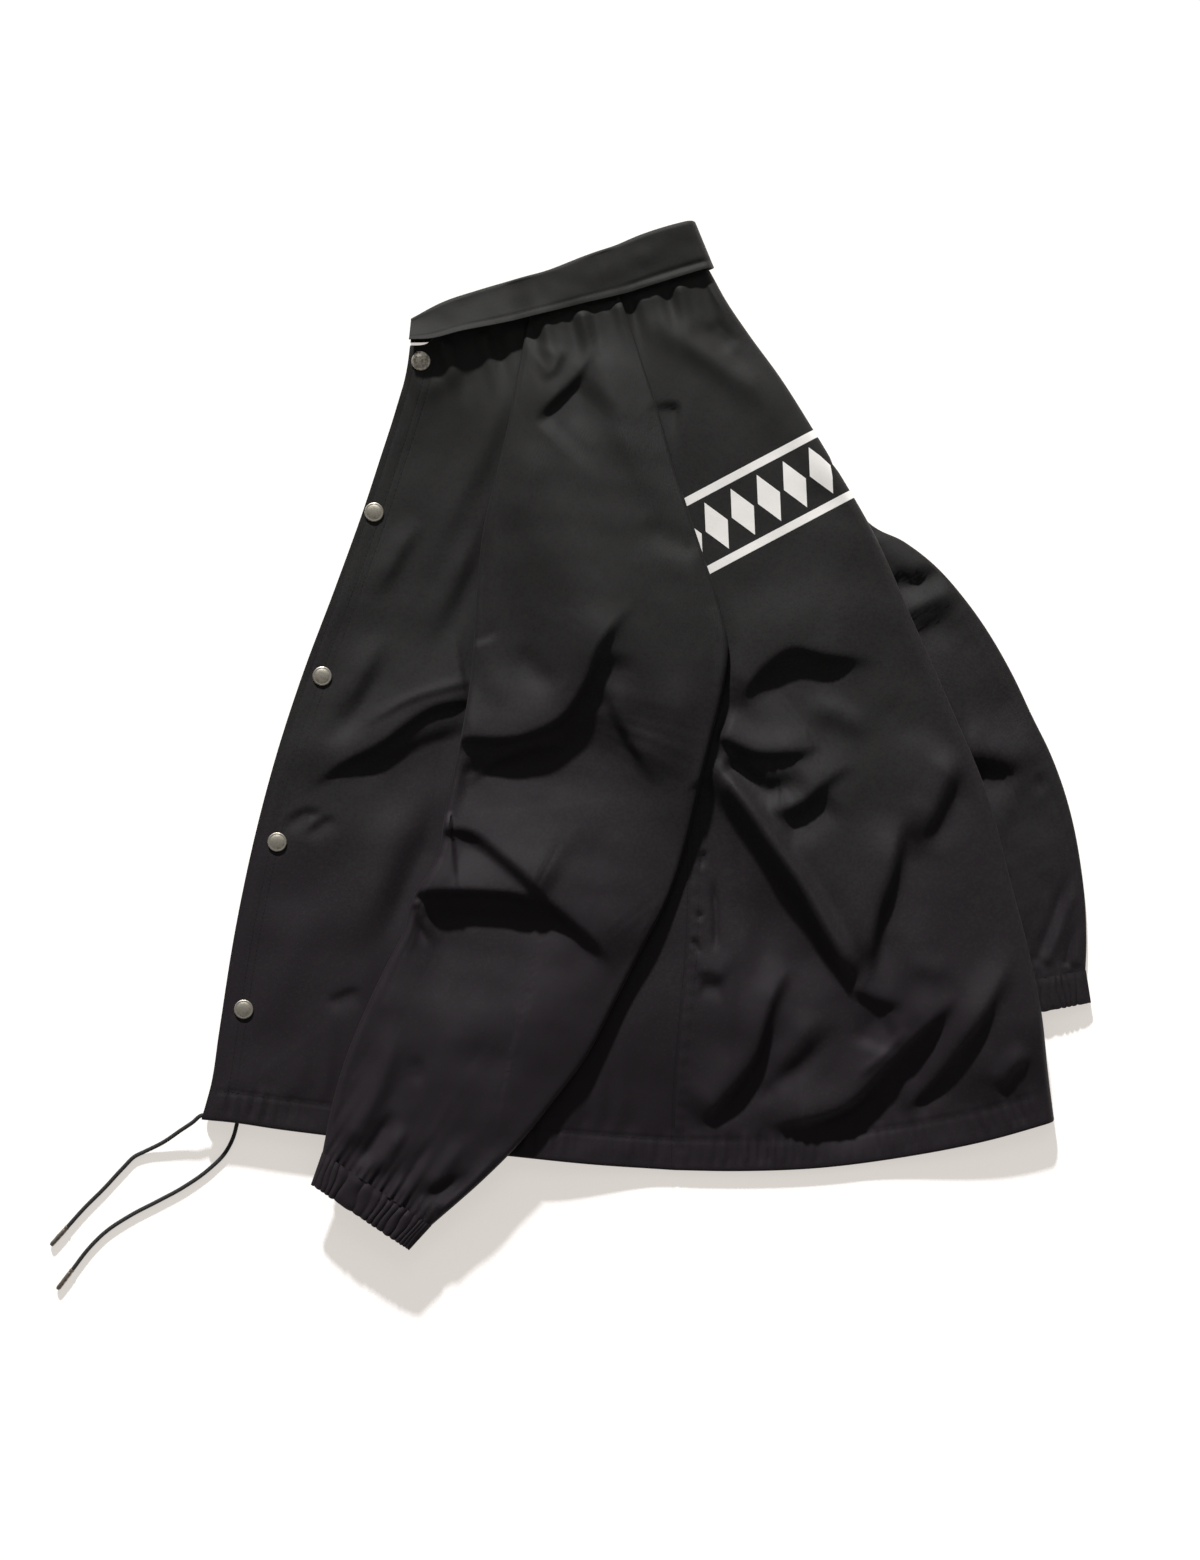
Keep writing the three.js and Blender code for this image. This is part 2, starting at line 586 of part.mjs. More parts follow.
// A sleeve laid flat: one whole layer, a fold at each side, and two lips that end at the seams.
// The lips are the lower layer of the upper sleeve and the upper layer of the lower one.
function sleeveCloth({ rows, count, across, base, lipsOnTop, relief }) {
  const knots = rows.map((row, i) => i);
  const field = (key) => smooth(knots, rows.map((row) => row[key]));
  const lx = field("lx");
  const ly = field("ly");
  const rx = field("rx");
  const ry = field("ry");
  const front = field("front");
  const rear = field("back");
  const thick = field("thick");
  const grid = evenly(count, 0, rows.length - 1).map((at) => {
    const width = Math.hypot(rx(at) - lx(at), ry(at) - ly(at));
    const radius = (thick(at) * EDGE_SHARE) / 2;
    const edge = radius / width;
    const gap = SEAM_HALF_GAP / width;
    const point = (share) => ({
      x: mix(lx(at), rx(at), share),
      y: mix(ly(at), ry(at), share),
    });
    const layer = (share, upper) => {
      const p = point(share);
      const ground = base(p.x, p.y);
      const arch = EDGE_SHARE + (1 - EDGE_SHARE) * 4 * share * (1 - share);
      return upper ? ground + thick(at) * arch + relief(p.x, p.y) : ground;
    };
    const flat = (share, upper) => {
      const p = point(share);
      return new THREE.Vector3(p.x, p.y, layer(share, upper));
    };
    const fold = (turn, left) => {
      const share = left ? edge : 1 - edge;
      const reach = edge * (1 - Math.sin(turn * Math.PI));
      const p = point(left ? reach : 1 - reach);
      const lips = layer(share, lipsOnTop);
      const whole = layer(share, !lipsOnTop);
      return new THREE.Vector3(p.x, p.y, mix(lips, whole, (1 - Math.cos(turn * Math.PI)) / 2));
    };
    return [
      ...evenly(3, front(at) - gap, edge).map((share) => flat(share, lipsOnTop)),
      ...[0.25, 0.5, 0.75].map((turn) => fold(turn, true)),
      ...evenly(across, edge, 1 - edge).map((share) => flat(share, !lipsOnTop)),
      ...[0.75, 0.5, 0.25].map((turn) => fold(turn, false)),
      ...evenly(3, 1 - edge, rear(at) + gap).map((share) => flat(share, lipsOnTop)),
    ];
  });
  return wall(grid, CLOTH);
}

const leftSleeve = sleeveCloth({
  rows: LEFT_SLEEVE,
  count: 30,
  across: 15,
  base: upperSleeveBase,
  lipsOnTop: false,
  relief: (x, y) => foldsAt(LEFT_SLEEVE_FOLDS, x, y) * ease(0, 18, insideLeftSleeve(x, y)),
});
const rightSleeve = sleeveCloth({
  rows: RIGHT_SLEEVE,
  count: 19,
  across: 8,
  base: lowest,
  lipsOnTop: true,
  relief: (x, y) => {
    const shown = ease(0, 20, -insideBody(x, y)) * ease(0, 15, insideRightSleeve(x, y));
    return foldsAt(RIGHT_SLEEVE_FOLDS, x, y) * shown;
  },
});

// A gathered cuff: a flat tube whose wall ripples round it.
function cuffCloth({ from, to, base, startHeight, endHeight }) {
  const length = Math.hypot(to.lx - from.lx, to.ly - from.ly);
  const grid = evenly(2, 0.5 / length, 1).map((share) => {
    const left = { x: mix(from.lx, to.lx, share), y: mix(from.ly, to.ly, share) };
    const right = { x: mix(from.rx, to.rx, share), y: mix(from.ry, to.ry, share) };
    const height = mix(startHeight, endHeight, share);
    return Array.from({ length: CUFF_GATHERS * 4 }, (_, k) => {
      const angle = (k / (CUFF_GATHERS * 4)) * 2 * Math.PI;
      const squash = (value, power) => Math.sign(value) * Math.abs(value) ** power;
      const u = 0.5 - 0.5 * squash(Math.cos(angle), 0.9);
      const x = mix(left.x, right.x, u);
      const y = mix(left.y, right.y, u);
      const ripple = 1 + 0.14 * Math.sin(CUFF_GATHERS * angle);
      const rise = (height / 2) * ripple * squash(Math.sin(angle), 0.75);
      return new THREE.Vector3(x, y, base(x, y) + height / 2 + rise);
    });
  });
  return wall(grid, CUFF_CLOTH, true);
}

const leftCuff = cuffCloth({
  from: LEFT_SLEEVE[LEFT_SLEEVE.length - 1],
  to: LEFT_CUFF_END,
  base: upperSleeveBase,
  startHeight: 9,
  endHeight: 8,
});
const rightCuff = cuffCloth({
  from: RIGHT_SLEEVE[RIGHT_SLEEVE.length - 1],
  to: RIGHT_CUFF_END,
  base: (x, y) => lowest(x, y) + 0.8,
  startHeight: 8,
  endHeight: 7.5,
});

// The collar: the fall outside, a roll along its upper edge, and the stand inside, which is
// sewn to the neck. Past the centre back the same section turns over and runs back underneath.
const collarFree = curveThrough(COLLAR_FREE_EDGE);
const collarRoll = curveThrough(COLLAR_ROLL_EDGE);
function collarStandHeight(x, y) {
  return NECK_HEIGHT + LAYER_STEP + 6.2 * ease(-34, 0, insideLeftSleeve(x, y));
}
const collarAcross = [
  ...evenly(5).map((share) => ({ share, roll: 0 })),
  ...[0.25, 0.5, 0.75].map((roll) => ({ share: 1, roll })),
  ...evenly(3, 1, 1 - COLLAR_STAND_SHARE).map((share) => ({ share, roll: 1 })),
];
const collarAlong = [
  ...evenly(12).map((share) => ({ share, turn: 0 })),
  ...[0.2, 0.4, 0.6, 0.8].map((turn) => ({ share: 1, turn: turn * Math.PI })),
  ...evenly(7, 1, 0).map((share) => ({ share, turn: Math.PI })),
];
const collarGrid = collarAlong.map((along) => {
  const outward = unit(collarRoll(0.95), collarRoll(1));
  return collarAcross.map((across) => {
    const span = Math.hypot(collarRoll(1).x - collarRoll(0).x, collarRoll(1).y - collarRoll(0).y);
    const at = along.share * (1 - COLLAR_FOLD / span);
    const low = collarFree(at);
    const top = collarRoll(at);
    const up = unit(low, top);
    const rollRoom = mix(COLLAR_ROLL_UPPER, COLLAR_ROLL_LOWER, along.turn / Math.PI);
    const angle = across.roll * Math.PI;
    const push = (rollRoom / 2) * Math.sin(angle);
    const x = mix(low.x, top.x, across.share) + up.x * push;
    const y = mix(low.y, top.y, across.share) + up.y * push;
    const deepUpper = (COLLAR_ROLL_UPPER * (1 + Math.cos(angle))) / 2;
    const deepLower = (COLLAR_ROLL_LOWER * (1 - Math.cos(angle))) / 2;
    const flare = across.roll === 0 ? COLLAR_FLARE * (1 - across.share) ** 1.3 : 0;
    const upper = collarStandHeight(x, y) + deepUpper + flare;
    const lower = CLOTH / 2 + deepLower;
    const inset = (rollRoom * (1 - Math.cos(angle))) / 2;
    const side = (COLLAR_FOLD - inset) * Math.sin(along.turn);
    const z = (upper + lower) / 2 + ((upper - lower) / 2) * Math.cos(along.turn);
    return new THREE.Vector3(x + outward.x * side, y + outward.y * side, z);
  });
});
const collar = wall(collarGrid, CLOTH);

// A turned solid standing on a point along a direction.
function turned(profile, segments, foot, direction) {
  const geometry = new THREE.LatheGeometry(
    profile.map(([radius, height]) => new THREE.Vector2(radius, height)),
    segments,
  );
  const up = new THREE.Vector3(0, 1, 0);
  const turn = new THREE.Quaternion().setFromUnitVectors(up, direction.clone().normalize());
  geometry.applyQuaternion(turn);
  geometry.translate(foot.x, foot.y, foot.z);
  return geometry;
}

// The direction that the upper panel faces at a point.
function panelNormal(x, y) {
  const step = 8;
  const dx = (upperPanel(x + step, y) - upperPanel(x - step, y)) / (2 * step);
  const dy = (upperPanel(x, y + step) - upperPanel(x, y - step)) / (2 * step);
  return new THREE.Vector3(-dx, -dy, 1).normalize();
}
const SNAP_PROFILE = [
  [0, 0],
  [SNAP_RADIUS - 0.4, 0],
  [SNAP_RADIUS, 0.5],
  [SNAP_RADIUS - 0.3, SNAP_HEIGHT * 0.55],
  [SNAP_RADIUS * 0.72, SNAP_HEIGHT * 0.9],
  [0, SNAP_HEIGHT],
];
const SOCKET_PROFILE = [
  [0, 0],
  [SOCKET_RADIUS, 0],
  [SOCKET_RADIUS, SOCKET_HEIGHT],
  [0, SOCKET_HEIGHT],
];

// The middle of a snap, moved out of the panel by an offset.
const snapFoot = (snap, offset) => {
  const middle = new THREE.Vector3(snap.x, snap.y, upperPanel(snap.x, snap.y));
  return middle.addScaledVector(panelNormal(snap.x, snap.y), offset);
};

// A round cord through its rows, with flat ends.
function cordTube(rows) {
  const path = new THREE.CatmullRomCurve3(
    rows.map((row) => new THREE.Vector3(row.x, row.y, row.z)),
    false,
    "centripetal",
  );
  const section = new THREE.Shape();
  for (let k = 0; k < 8; k += 1) {
    const angle = (k / 8) * 2 * Math.PI;
    const x = CORD_RADIUS * Math.cos(angle);
    const y = CORD_RADIUS * Math.sin(angle);
    if (k === 0) section.moveTo(x, y);
    else section.lineTo(x, y);
  }
  section.closePath();
  return new THREE.ExtrudeGeometry(section, { steps: 26, extrudePath: path, curveSegments: 1 });
}

// The metal tip at a cord's last row.
function aglet(rows) {
  const last = rows[rows.length - 1];
  const before = rows[rows.length - 2];
  const along = new THREE.Vector3(last.x - before.x, last.y - before.y, 0).normalize();
  const foot = new THREE.Vector3(last.x, last.y, AGLET_RADIUS + 0.1);
  return turned(
    [
      [0, 0],
      [AGLET_RADIUS, 0],
      [AGLET_RADIUS, AGLET_LENGTH - 3],
      [AGLET_RADIUS * 0.86, AGLET_LENGTH - 1],
      [AGLET_RADIUS * 0.6, AGLET_LENGTH],
      [0, AGLET_LENGTH],
    ],
    12,
    foot.addScaledVector(along, 0.5),
    along,
  );
}

const CLOTH_MATERIAL = new THREE.MeshStandardMaterial({ color: 0x1d1d20, roughness: 0.6 });
const CORD_MATERIAL = new THREE.MeshStandardMaterial({ color: 0x141415, roughness: 0.85 });
const METAL_MATERIAL = new THREE.MeshStandardMaterial({
  color: 0x8f8c87,
  roughness: 0.35,
  metalness: 1,
});

const jacket = new THREE.Group();
function add(name, geometry, material) {
  const mesh = new THREE.Mesh(geometry, material);
  mesh.name = name;
  jacket.add(mesh);
}

add("right_sleeve", rightSleeve, CLOTH_MATERIAL);
add("right_cuff", rightCuff, CLOTH_MATERIAL);
add("right_front", rightFront, CLOTH_MATERIAL);
add("back", back, CLOTH_MATERIAL);
add("left_front", leftFront, CLOTH_MATERIAL);
add("left_sleeve", leftSleeve, CLOTH_MATERIAL);
add("left_cuff", leftCuff, CLOTH_MATERIAL);
add("collar", collar, CLOTH_MATERIAL);
SNAPS.forEach((snap) => {
  const normal = panelNormal(snap.x, snap.y);
  const over = snapFoot(snap, CLOTH / 2 + SNAP_CLEAR);
  const under = snapFoot(snap, -CLOTH / 2 - SNAP_CLEAR + 0.15 - SOCKET_HEIGHT);
  add("snap_cap_" + snap.name, turned(SNAP_PROFILE, 16, over, normal), METAL_MATERIAL);
  add("snap_socket_" + snap.name, turned(SOCKET_PROFILE, 14, under, normal), METAL_MATERIAL);
});
add("drawcord_a", cordTube(CORD_A), CORD_MATERIAL);
add("drawcord_b", cordTube(CORD_B), CORD_MATERIAL);
add("aglet_a", aglet(CORD_A), METAL_MATERIAL);
add("aglet_b", aglet(CORD_B), METAL_MATERIAL);

export default jacket;
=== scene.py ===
# %% [markdown]
# # A coach jacket, laid flat on its side
# A coach jacket is a thin woven nylon shell with raglan sleeves, a one-piece shirt collar, a row of
# snaps, gathered cuffs and a cord in the hem. Here it lies on its right side. The CAD model gives
# the place and the size of every cloth. This script gives each cloth again as a fine thin shell on
# the same form, with its folds given one by one, and adds the sewing, the weave and the light.

# %% Load the frame
import math

import bpy
import numpy as np
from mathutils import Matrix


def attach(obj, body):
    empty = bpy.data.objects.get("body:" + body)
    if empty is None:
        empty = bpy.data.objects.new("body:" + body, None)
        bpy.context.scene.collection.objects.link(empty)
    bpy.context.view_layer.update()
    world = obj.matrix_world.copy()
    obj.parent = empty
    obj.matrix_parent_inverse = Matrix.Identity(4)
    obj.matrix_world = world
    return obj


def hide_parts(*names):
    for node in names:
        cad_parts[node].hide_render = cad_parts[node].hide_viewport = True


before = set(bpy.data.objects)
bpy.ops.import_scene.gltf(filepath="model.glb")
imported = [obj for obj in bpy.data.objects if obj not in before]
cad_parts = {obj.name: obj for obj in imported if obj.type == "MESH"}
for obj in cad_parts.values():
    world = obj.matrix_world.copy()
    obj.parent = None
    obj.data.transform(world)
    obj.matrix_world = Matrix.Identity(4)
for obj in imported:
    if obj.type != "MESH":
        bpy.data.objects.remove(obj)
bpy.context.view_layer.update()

# %% [markdown]
# ## Camera and stage
# The picture is taken from straight above with a long lens, so the sides of the pile hardly show.
# A camera four metres up, with the lens worked out from the long side of the picture, gives the
# same flat view. The floor is one pale plane, and the light is one fairly hard lamp beyond the
# collar with soft light from the sides.

# %% Camera
PIXEL_MM = 0.78  # size of one pixel of the picture on the jacket
PICTURE_LONG = 1560 * PIXEL_MM / 1000
CAMERA_HEIGHT = 4.0
CLOTH_LEVEL = 0.02

camera_data = bpy.data.cameras.new("camera")
camera = bpy.data.objects.new("camera", camera_data)
bpy.context.scene.collection.objects.link(camera)
bpy.context.scene.camera = camera
camera.location = (-0.0357, -0.0355, CAMERA_HEIGHT)
camera_data.sensor_width = 36
camera_data.lens = 36 * (CAMERA_HEIGHT - CLOTH_LEVEL) / PICTURE_LONG
print("lens", round(camera_data.lens, 1), "mm")

# %% Light
def area_lamp(name, place, target, size, power, tint=(1, 1, 1)):
    """A square lamp at a place, turned to face a target."""
    data = bpy.data.lights.new(name, "AREA")
    data.size = size
    data.energy = power
    data.color = tint
    lamp = bpy.data.objects.new(name, data)
    bpy.context.scene.collection.objects.link(lamp)
    lamp.location = place
    away = np.subtract(place, target)
    flat = math.hypot(away[0], away[1])
    lamp.rotation_euler = (math.atan2(flat, away[2]), 0, math.atan2(away[0], -away[1]))
    return lamp


def sun_lamp(name, toward, spread, strength):
    """A far lamp whose light comes from one direction, with edges as soft as its spread."""
    data = bpy.data.lights.new(name, "SUN")
    data.energy = strength
    data.angle = math.radians(spread)
    lamp = bpy.data.objects.new(name, data)
    bpy.context.scene.collection.objects.link(lamp)
    flat = math.hypot(toward[0], toward[1])
    lamp.rotation_euler = (math.atan2(flat, toward[2]), 0, math.atan2(toward[0], -toward[1]))
    return lamp


sun_lamp("key", (-0.145, 0.905, 0.399), 3.0, 5.8)
area_lamp("top_fill", (0.2, 2.2, 3.0), (0, 0, 0), 1.4, 6)
world = bpy.data.worlds.new("soft_room")
bpy.context.scene.world = world
world.use_nodes = True
world.node_tree.nodes["Background"].inputs["Color"].default_value = (1, 0.985, 0.97, 1)
world.node_tree.nodes["Background"].inputs["Strength"].default_value = 0.18
bpy.context.scene.view_settings.view_transform = "Standard"

# %% [markdown]
# ## Numbers that draw cloth
# Every cloth here is a surface with two parameters: one runs across the piece and one runs down
# it. Its outline comes from smooth curves through measured points, and its height from a few
# functions of the place. The same functions made the CAD solids, so each fine cloth lies where its
# solid lies.

# %% Small functions
MM = 0.001


def ease(start, end, value):
    """Goes from 0 to 1 between two values, flat at both ends: 3 s squared less 2 s cubed."""
    s = np.clip((np.asarray(value, float) - start) / (end - start), 0, 1)
    return s * s * (3 - 2 * s)


def mix(a, b, share):
    """a at share 0 and b at share 1, in a straight line between."""
    return a + (b - a) * share


def length_of(vector):
    """The length of each vector of an array."""
    return np.sqrt((vector**2).sum(-1))


def unit(vector):
    """Each vector of an array, made 1 long."""
    return vector / np.maximum(length_of(vector), 1e-9)[..., None]


def smooth(knots, values):
    """A function through values at rising knots: each span is a cubic whose slope at a knot is the
    mean of the slopes on both sides, weighted towards the shorter span."""
    knots = np.asarray(knots, float)
    values = np.asarray(values, float)
    span = np.diff(knots)
    step = np.diff(values) / span
    inner = (step[:-1] * span[1:] + step[1:] * span[:-1]) / (span[:-1] + span[1:])
    slope = np.concatenate([step[:1], inner, step[-1:]])

    def value_at(at):
        i = np.clip(np.searchsorted(knots, at, side="right") - 1, 0, len(span) - 1)
        s = (at - knots[i]) / span[i]
        blend = s * s * (3 - 2 * s)
        bend = slope[i] * (1 - s) - slope[i + 1] * s
        return mix(values[i], values[i + 1], blend) + span[i] * s * (1 - s) * bend

    return value_at


def curve_through(points):
    """A smooth curve through points: share 0 is the first point and share 1 the last, by length."""
    points = np.asarray(points, float)
    knots = np.concatenate([[0], np.cumsum(length_of(np.diff(points, axis=0)))])
    parts = [smooth(knots / knots[-1], points[:, k]) for k in range(points.shape[1])]
    return lambda share: np.stack([part(np.asarray(share, float)) for part in parts], -1)


def patch_between(top, bottom, start, end):
    """The patch between four curves: the two straight blends of facing curves, added, less the
    blend of the four corners."""
    a, b, c, d = top(0.0), top(1.0), bottom(0.0), bottom(1.0)

    def place(u, v):
        uu = np.asarray(u, float)[..., None]
        vv = np.asarray(v, float)[..., None]
        across = mix(top(u), bottom(u), vv)
        down = mix(start(v), end(v), uu)
        return across + down - mix(mix(a, b, uu), mix(c, d, uu), vv)

    return place


def inside_of(outline):
    """How far points are inside an outline: the distance to its nearest side, negative outside."""
    outline = np.asarray(outline, float)

    def depth(x, y):
        nearest = np.full(np.shape(x), 1e9)
        within = np.zeros(np.shape(x), bool)
        for p, q in zip(outline, np.roll(outline, -1, axis=0)):
            dx, dy = q - p
            size = dx * dx + dy * dy or 1
            s = np.clip(((x - p[0]) * dx + (y - p[1]) * dy) / size, 0, 1)
            nearest = np.minimum(nearest, np.hypot(x - p[0] - s * dx, y - p[1] - s * dy))
            crosses = ((p[1] > y) != (q[1] > y)) & (x < p[0] + (y - p[1]) / (dy or 1) * dx)
            within ^= crosses
        return np.where(within, nearest, -nearest)

    return depth


# %% [markdown]
# ## The outline of the pile
# The points below are read from the photograph, in millimetres from the middle of the jacket. They
# are the same points that the CAD model uses: the front edge, the hem, the centre back fold, the
# neck, the side seam, the collar, and one line across each sleeve for every turn of its edges.

# %% Outlines
CLOTH = 1.2
SKIN = 0.8  # thickness of the fine cloths
FRONT_EDGE = [(-183.9, 303.4), (-186.2, 285.9), (-194.8, 254.7), (-207.3, 215.7), (-219.8, 177.5),
              (-243.2, 112.7), (-267.3, 48.8), (-286.8, -10.5), (-305.2, -79.2), (-320.4, -151.7),
              (-333.6, -235.2), (-339.1, -271.8), (-346.5, -299)]
HEM_FRONT = [(-346.5, -299), (-321.2, -301.5), (-287.6, -306.5), (-252.5, -311), (-180, -320),
             (-106.7, -327.5), (-35.7, -335), (22.8, -339.2)]
HEM_BACK = [(22.8, -339.2), (69.6, -340), (135.9, -337.5), (201.4, -329), (267.7, -315.5),
            (319.2, -300.7)]
CENTRE_BACK = [(41, 376.5), (50, 361.5), (62, 339.7), (80.5, 312.4), (104.7, 278.9),
               (128.9, 240.6), (150, 205.5), (177.3, 158), (207.7, 90.1), (238.1, 21.4),
               (267, -48.8), (283.3, -110.4), (298.9, -170.4), (307.5, -211), (314.5, -266.4),
               (319.2, -300.7)]
NECK_FRONT = [(-81, 340.4), (-115.2, 331.1), (-143.3, 322.5), (-158.9, 315.5), (-172.2, 304.6),
              (-183.9, 303.4)]
NECK_BACK = [(-31.7, 353), (3.3, 363.9), (25, 371.2), (41, 376.5)]
SIDE_SEAM = [(17.1, 63.5), (26.7, 26.9), (33.7, -27.7), (35.3, -94.8), (33.7, -164.2),
             (27.5, -234.4), (23.6, -285.1), (22.8, -339.2)]
COLLAR_FREE_EDGE = [(-184.3, 307.3), (-169.1, 307.7), (-143.3, 313.9), (-115.2, 319.4),
                    (-80.9, 327.2), (-47.4, 335.8), (-21.6, 342), (3.3, 349.8), (33.7, 359.2),
                    (53.2, 365)]
COLLAR_ROLL_EDGE = [(-183.1, 321.8), (-157.4, 335.1), (-131.6, 343.7), (-105.1, 351.4),
                    (-77.8, 358.5), (-47.4, 370.2), (-24, 378.7), (-3.7, 387.3), (20.5, 395.1),
                    (38.6, 399.6)]
# left edge x and y, right edge x and y, shares of the front and back seams, height in the middle
LEFT_SLEEVE = np.array([
    (-87.2, 338.9, -25.5, 354.5, 0.1, 0.9, 3), (-95, 303.8, -10.7, 312.4, 0.13, 0.926, 5),
    (-101.2, 272.6, 0.2, 278.9, 0.223, 0.908, 7.5), (-106.7, 241.4, 11.1, 245.3, 0.311, 0.894, 9.5),
    (-116, 202.4, 21.3, 209.4, 0.42, 0.892, 11), (-126.2, 159.5, 32.2, 175.1, 0.527, 0.882, 12.5),
    (-130.8, 116.6, 43.9, 140, 0.625, 0.853, 13), (-133.2, 77.6, 55.6, 104.9, 0.702, 0.81, 13.5),
    (-136.3, 42.5, 63.4, 69.8, 0.768, 0.768, 13.5), (-141.8, 7.4, 59.5, 34.7, 0.721, 0.721, 13.5),
    (-148.8, -27.7, 50.9, -0.4, 0.691, 0.691, 13.5), (-155.8, -58.9, 42.3, -37.1, 0.657, 0.657, 13.5),
    (-162, -94, 31.4, -83.9, 0.621, 0.621, 13.5), (-180.8, -127.5, 17.4, -126.8, 0.6, 0.6, 13.5),
    (-188.6, -154.1, -3.7, -168.1, 0.574, 0.574, 13.5), (-201.8, -179.8, -26.3, -212.6, 0.556, 0.556, 13),
    (-215.9, -209.4, -47.4, -252.3, 0.537, 0.537, 13), (-228.3, -238.3, -73.1, -286.7, 0.528, 0.528, 12.5),
    (-237.7, -264.8, -98.1, -317.9, 0.525, 0.525, 12), (-245.5, -294.4, -129.3, -349.1, 0.517, 0.517, 11),
    (-251.7, -325.7, -167.5, -382.6, 0.509, 0.509, 9.5)])
RIGHT_SLEEVE = np.array([
    (-87.2, 338.9, -25.5, 354.5, 0.1, 0.9, 2.6), (-91.8, 303.8, 3.3, 321.8, 0.08, 0.77, 3.6),
    (-87.9, 264.8, 38.4, 290.6, 0.093, 0.617, 5), (-78.6, 221.9, 75.1, 257, 0.09, 0.513, 7),
    (-64.5, 176.7, 112.5, 224.2, 0.088, 0.414, 8), (-43.5, 129.9, 146.1, 195.4, 0.099, 0.317, 8),
    (-13.8, 73.7, 176.5, 164.2, 0.108, 0.176, 8), (0.2, 55, 202.2, 150.9, 0.0866, 0.0866, 8),
    (26.7, 17.6, 226.4, 132.2, 0.12, 0.12, 8), (56.4, -19.9, 247.5, 108.8, 0.2, 0.2, 8),
    (93, -60.5, 267.7, 80.7, 0.28, 0.28, 8), (129.7, -96.3, 286.5, 48, 0.35, 0.35, 8),
    (164.8, -126.8, 302.8, 13.7, 0.4, 0.4, 8), (192.9, -148.6, 316.9, -15.2, 0.45, 0.45, 8),
    (213.1, -164.2, 328.6, -47.2, 0.48, 0.48, 8), (229.5, -175.9, 337.2, -82.3, 0.5, 0.5, 8),
    (242.8, -186.8, 343.4, -125.2, 0.5, 0.5, 8), (251.4, -194.6, 345, -160.3, 0.5, 0.5, 8),
    (257.6, -199.3, 344.2, -184.5, 0.5, 0.5, 8)])
LEFT_CUFF_END = (-260.3, -350.6, -184.7, -401.3)
RIGHT_CUFF_END = (262.3, -225.8, 348.1, -209.4)


def sleeve_outline(rows, end):
    """Down a sleeve's left edge, across its cuff and up its right edge."""
    left = [tuple(row[:2]) for row in rows] + [end[:2]]
    right = [tuple(row[2:4]) for row in rows] + [end[2:]]
    return left + right[::-1]


inside_collar = inside_of(COLLAR_FREE_EDGE + COLLAR_ROLL_EDGE[::-1])
inside_right_sleeve = inside_of(sleeve_outline(RIGHT_SLEEVE, RIGHT_CUFF_END))
inside_left_sleeve = inside_of(sleeve_outline(LEFT_SLEEVE, LEFT_CUFF_END))
inside_body = inside_of(FRONT_EDGE[::-1] + [(-87, 345)] + CENTRE_BACK + HEM_BACK[::-1] + HEM_FRONT[::-1])
print("outline points:", len(FRONT_EDGE) + len(CENTRE_BACK) + len(HEM_FRONT) + len(HEM_BACK))

# %% [markdown]
# ## Folds
# A fold on thin nylon is a ridge or a trough along a curved line. It fades out at both ends, and
# one side is often much steeper than the other. Cloth simulation would give folds, but not these
# ones, so each is given one by one: a height, a width on each side, and the places that it runs
# through. The places are counted on the photograph, one step being 0.78 mm on the jacket.

# %% Fold maker
def on_photo(*places):
    """Millimetres on the jacket from places counted on the photograph, right and down."""
    places = np.asarray(places, float)
    return np.stack([(places[..., 0] - 645.75) * PIXEL_MM, (734.5 - places[..., 1]) * PIXEL_MM], -1)


def fold(height, upper, lower, *places, fade=(0.3, 0.3)):
    """A ridge, or a trough where the height is negative. upper and lower are its widths in mm on
    the side towards the collar and on the other. fade is the share of its length that each end
    takes to rise."""
    path = on_photo(*places)
    if path[-1, 0] < path[0, 0]:
        path, fade = path[::-1], fade[::-1]
    return dict(height=height, widths=(upper, lower), path=path, fade=fade)


def folds_at(folds, x, y):
    """The rise of all folds at each point. One fold gives its height, times a bell of the distance
    to its line over the width on that side, times the fade of the place along it."""
    total = np.zeros(np.shape(x))
    for one in folds:
        path = one["path"]
        reach = 3.2 * max(one["widths"])
        low = path.min(0) - reach
        high = path.max(0) + reach
        near = (x > low[0]) & (x < high[0]) & (y > low[1]) & (y < high[1])
        if not near.any():
            continue
        px, py = x[near], y[near]
        steps = max(1, min(28, int(length_of(np.diff(path, axis=0)).sum() / 6)))
        line = curve_through(path)(np.linspace(0, 1, steps + 1))
        away = np.full(px.shape, 1e9)
        side = np.zeros(px.shape)
        along = np.zeros(px.shape)
        for k, (p, q) in enumerate(zip(line[:-1], line[1:])):
            dx, dy = q - p
            s = np.clip(((px - p[0]) * dx + (py - p[1]) * dy) / (dx * dx + dy * dy), 0, 1)
            gone = np.hypot(px - p[0] - s * dx, py - p[1] - s * dy)
            closer = gone < away
            away = np.where(closer, gone, away)
            side = np.where(closer, dx * (py - p[1]) - dy * (px - p[0]), side)
            along = np.where(closer, (k + s) / steps, along)
        width = np.where(side > 0, one["widths"][0], one["widths"][1])
        bell = np.exp(-((away / width) ** 2))
        rise = ease(0, one["fade"][0], along) if one["fade"][0] else 1.0
        fall = ease(0, one["fade"][1], 1 - along) if one["fade"][1] else 1.0
        total[near] += one["height"] * bell * rise * fall
    return total


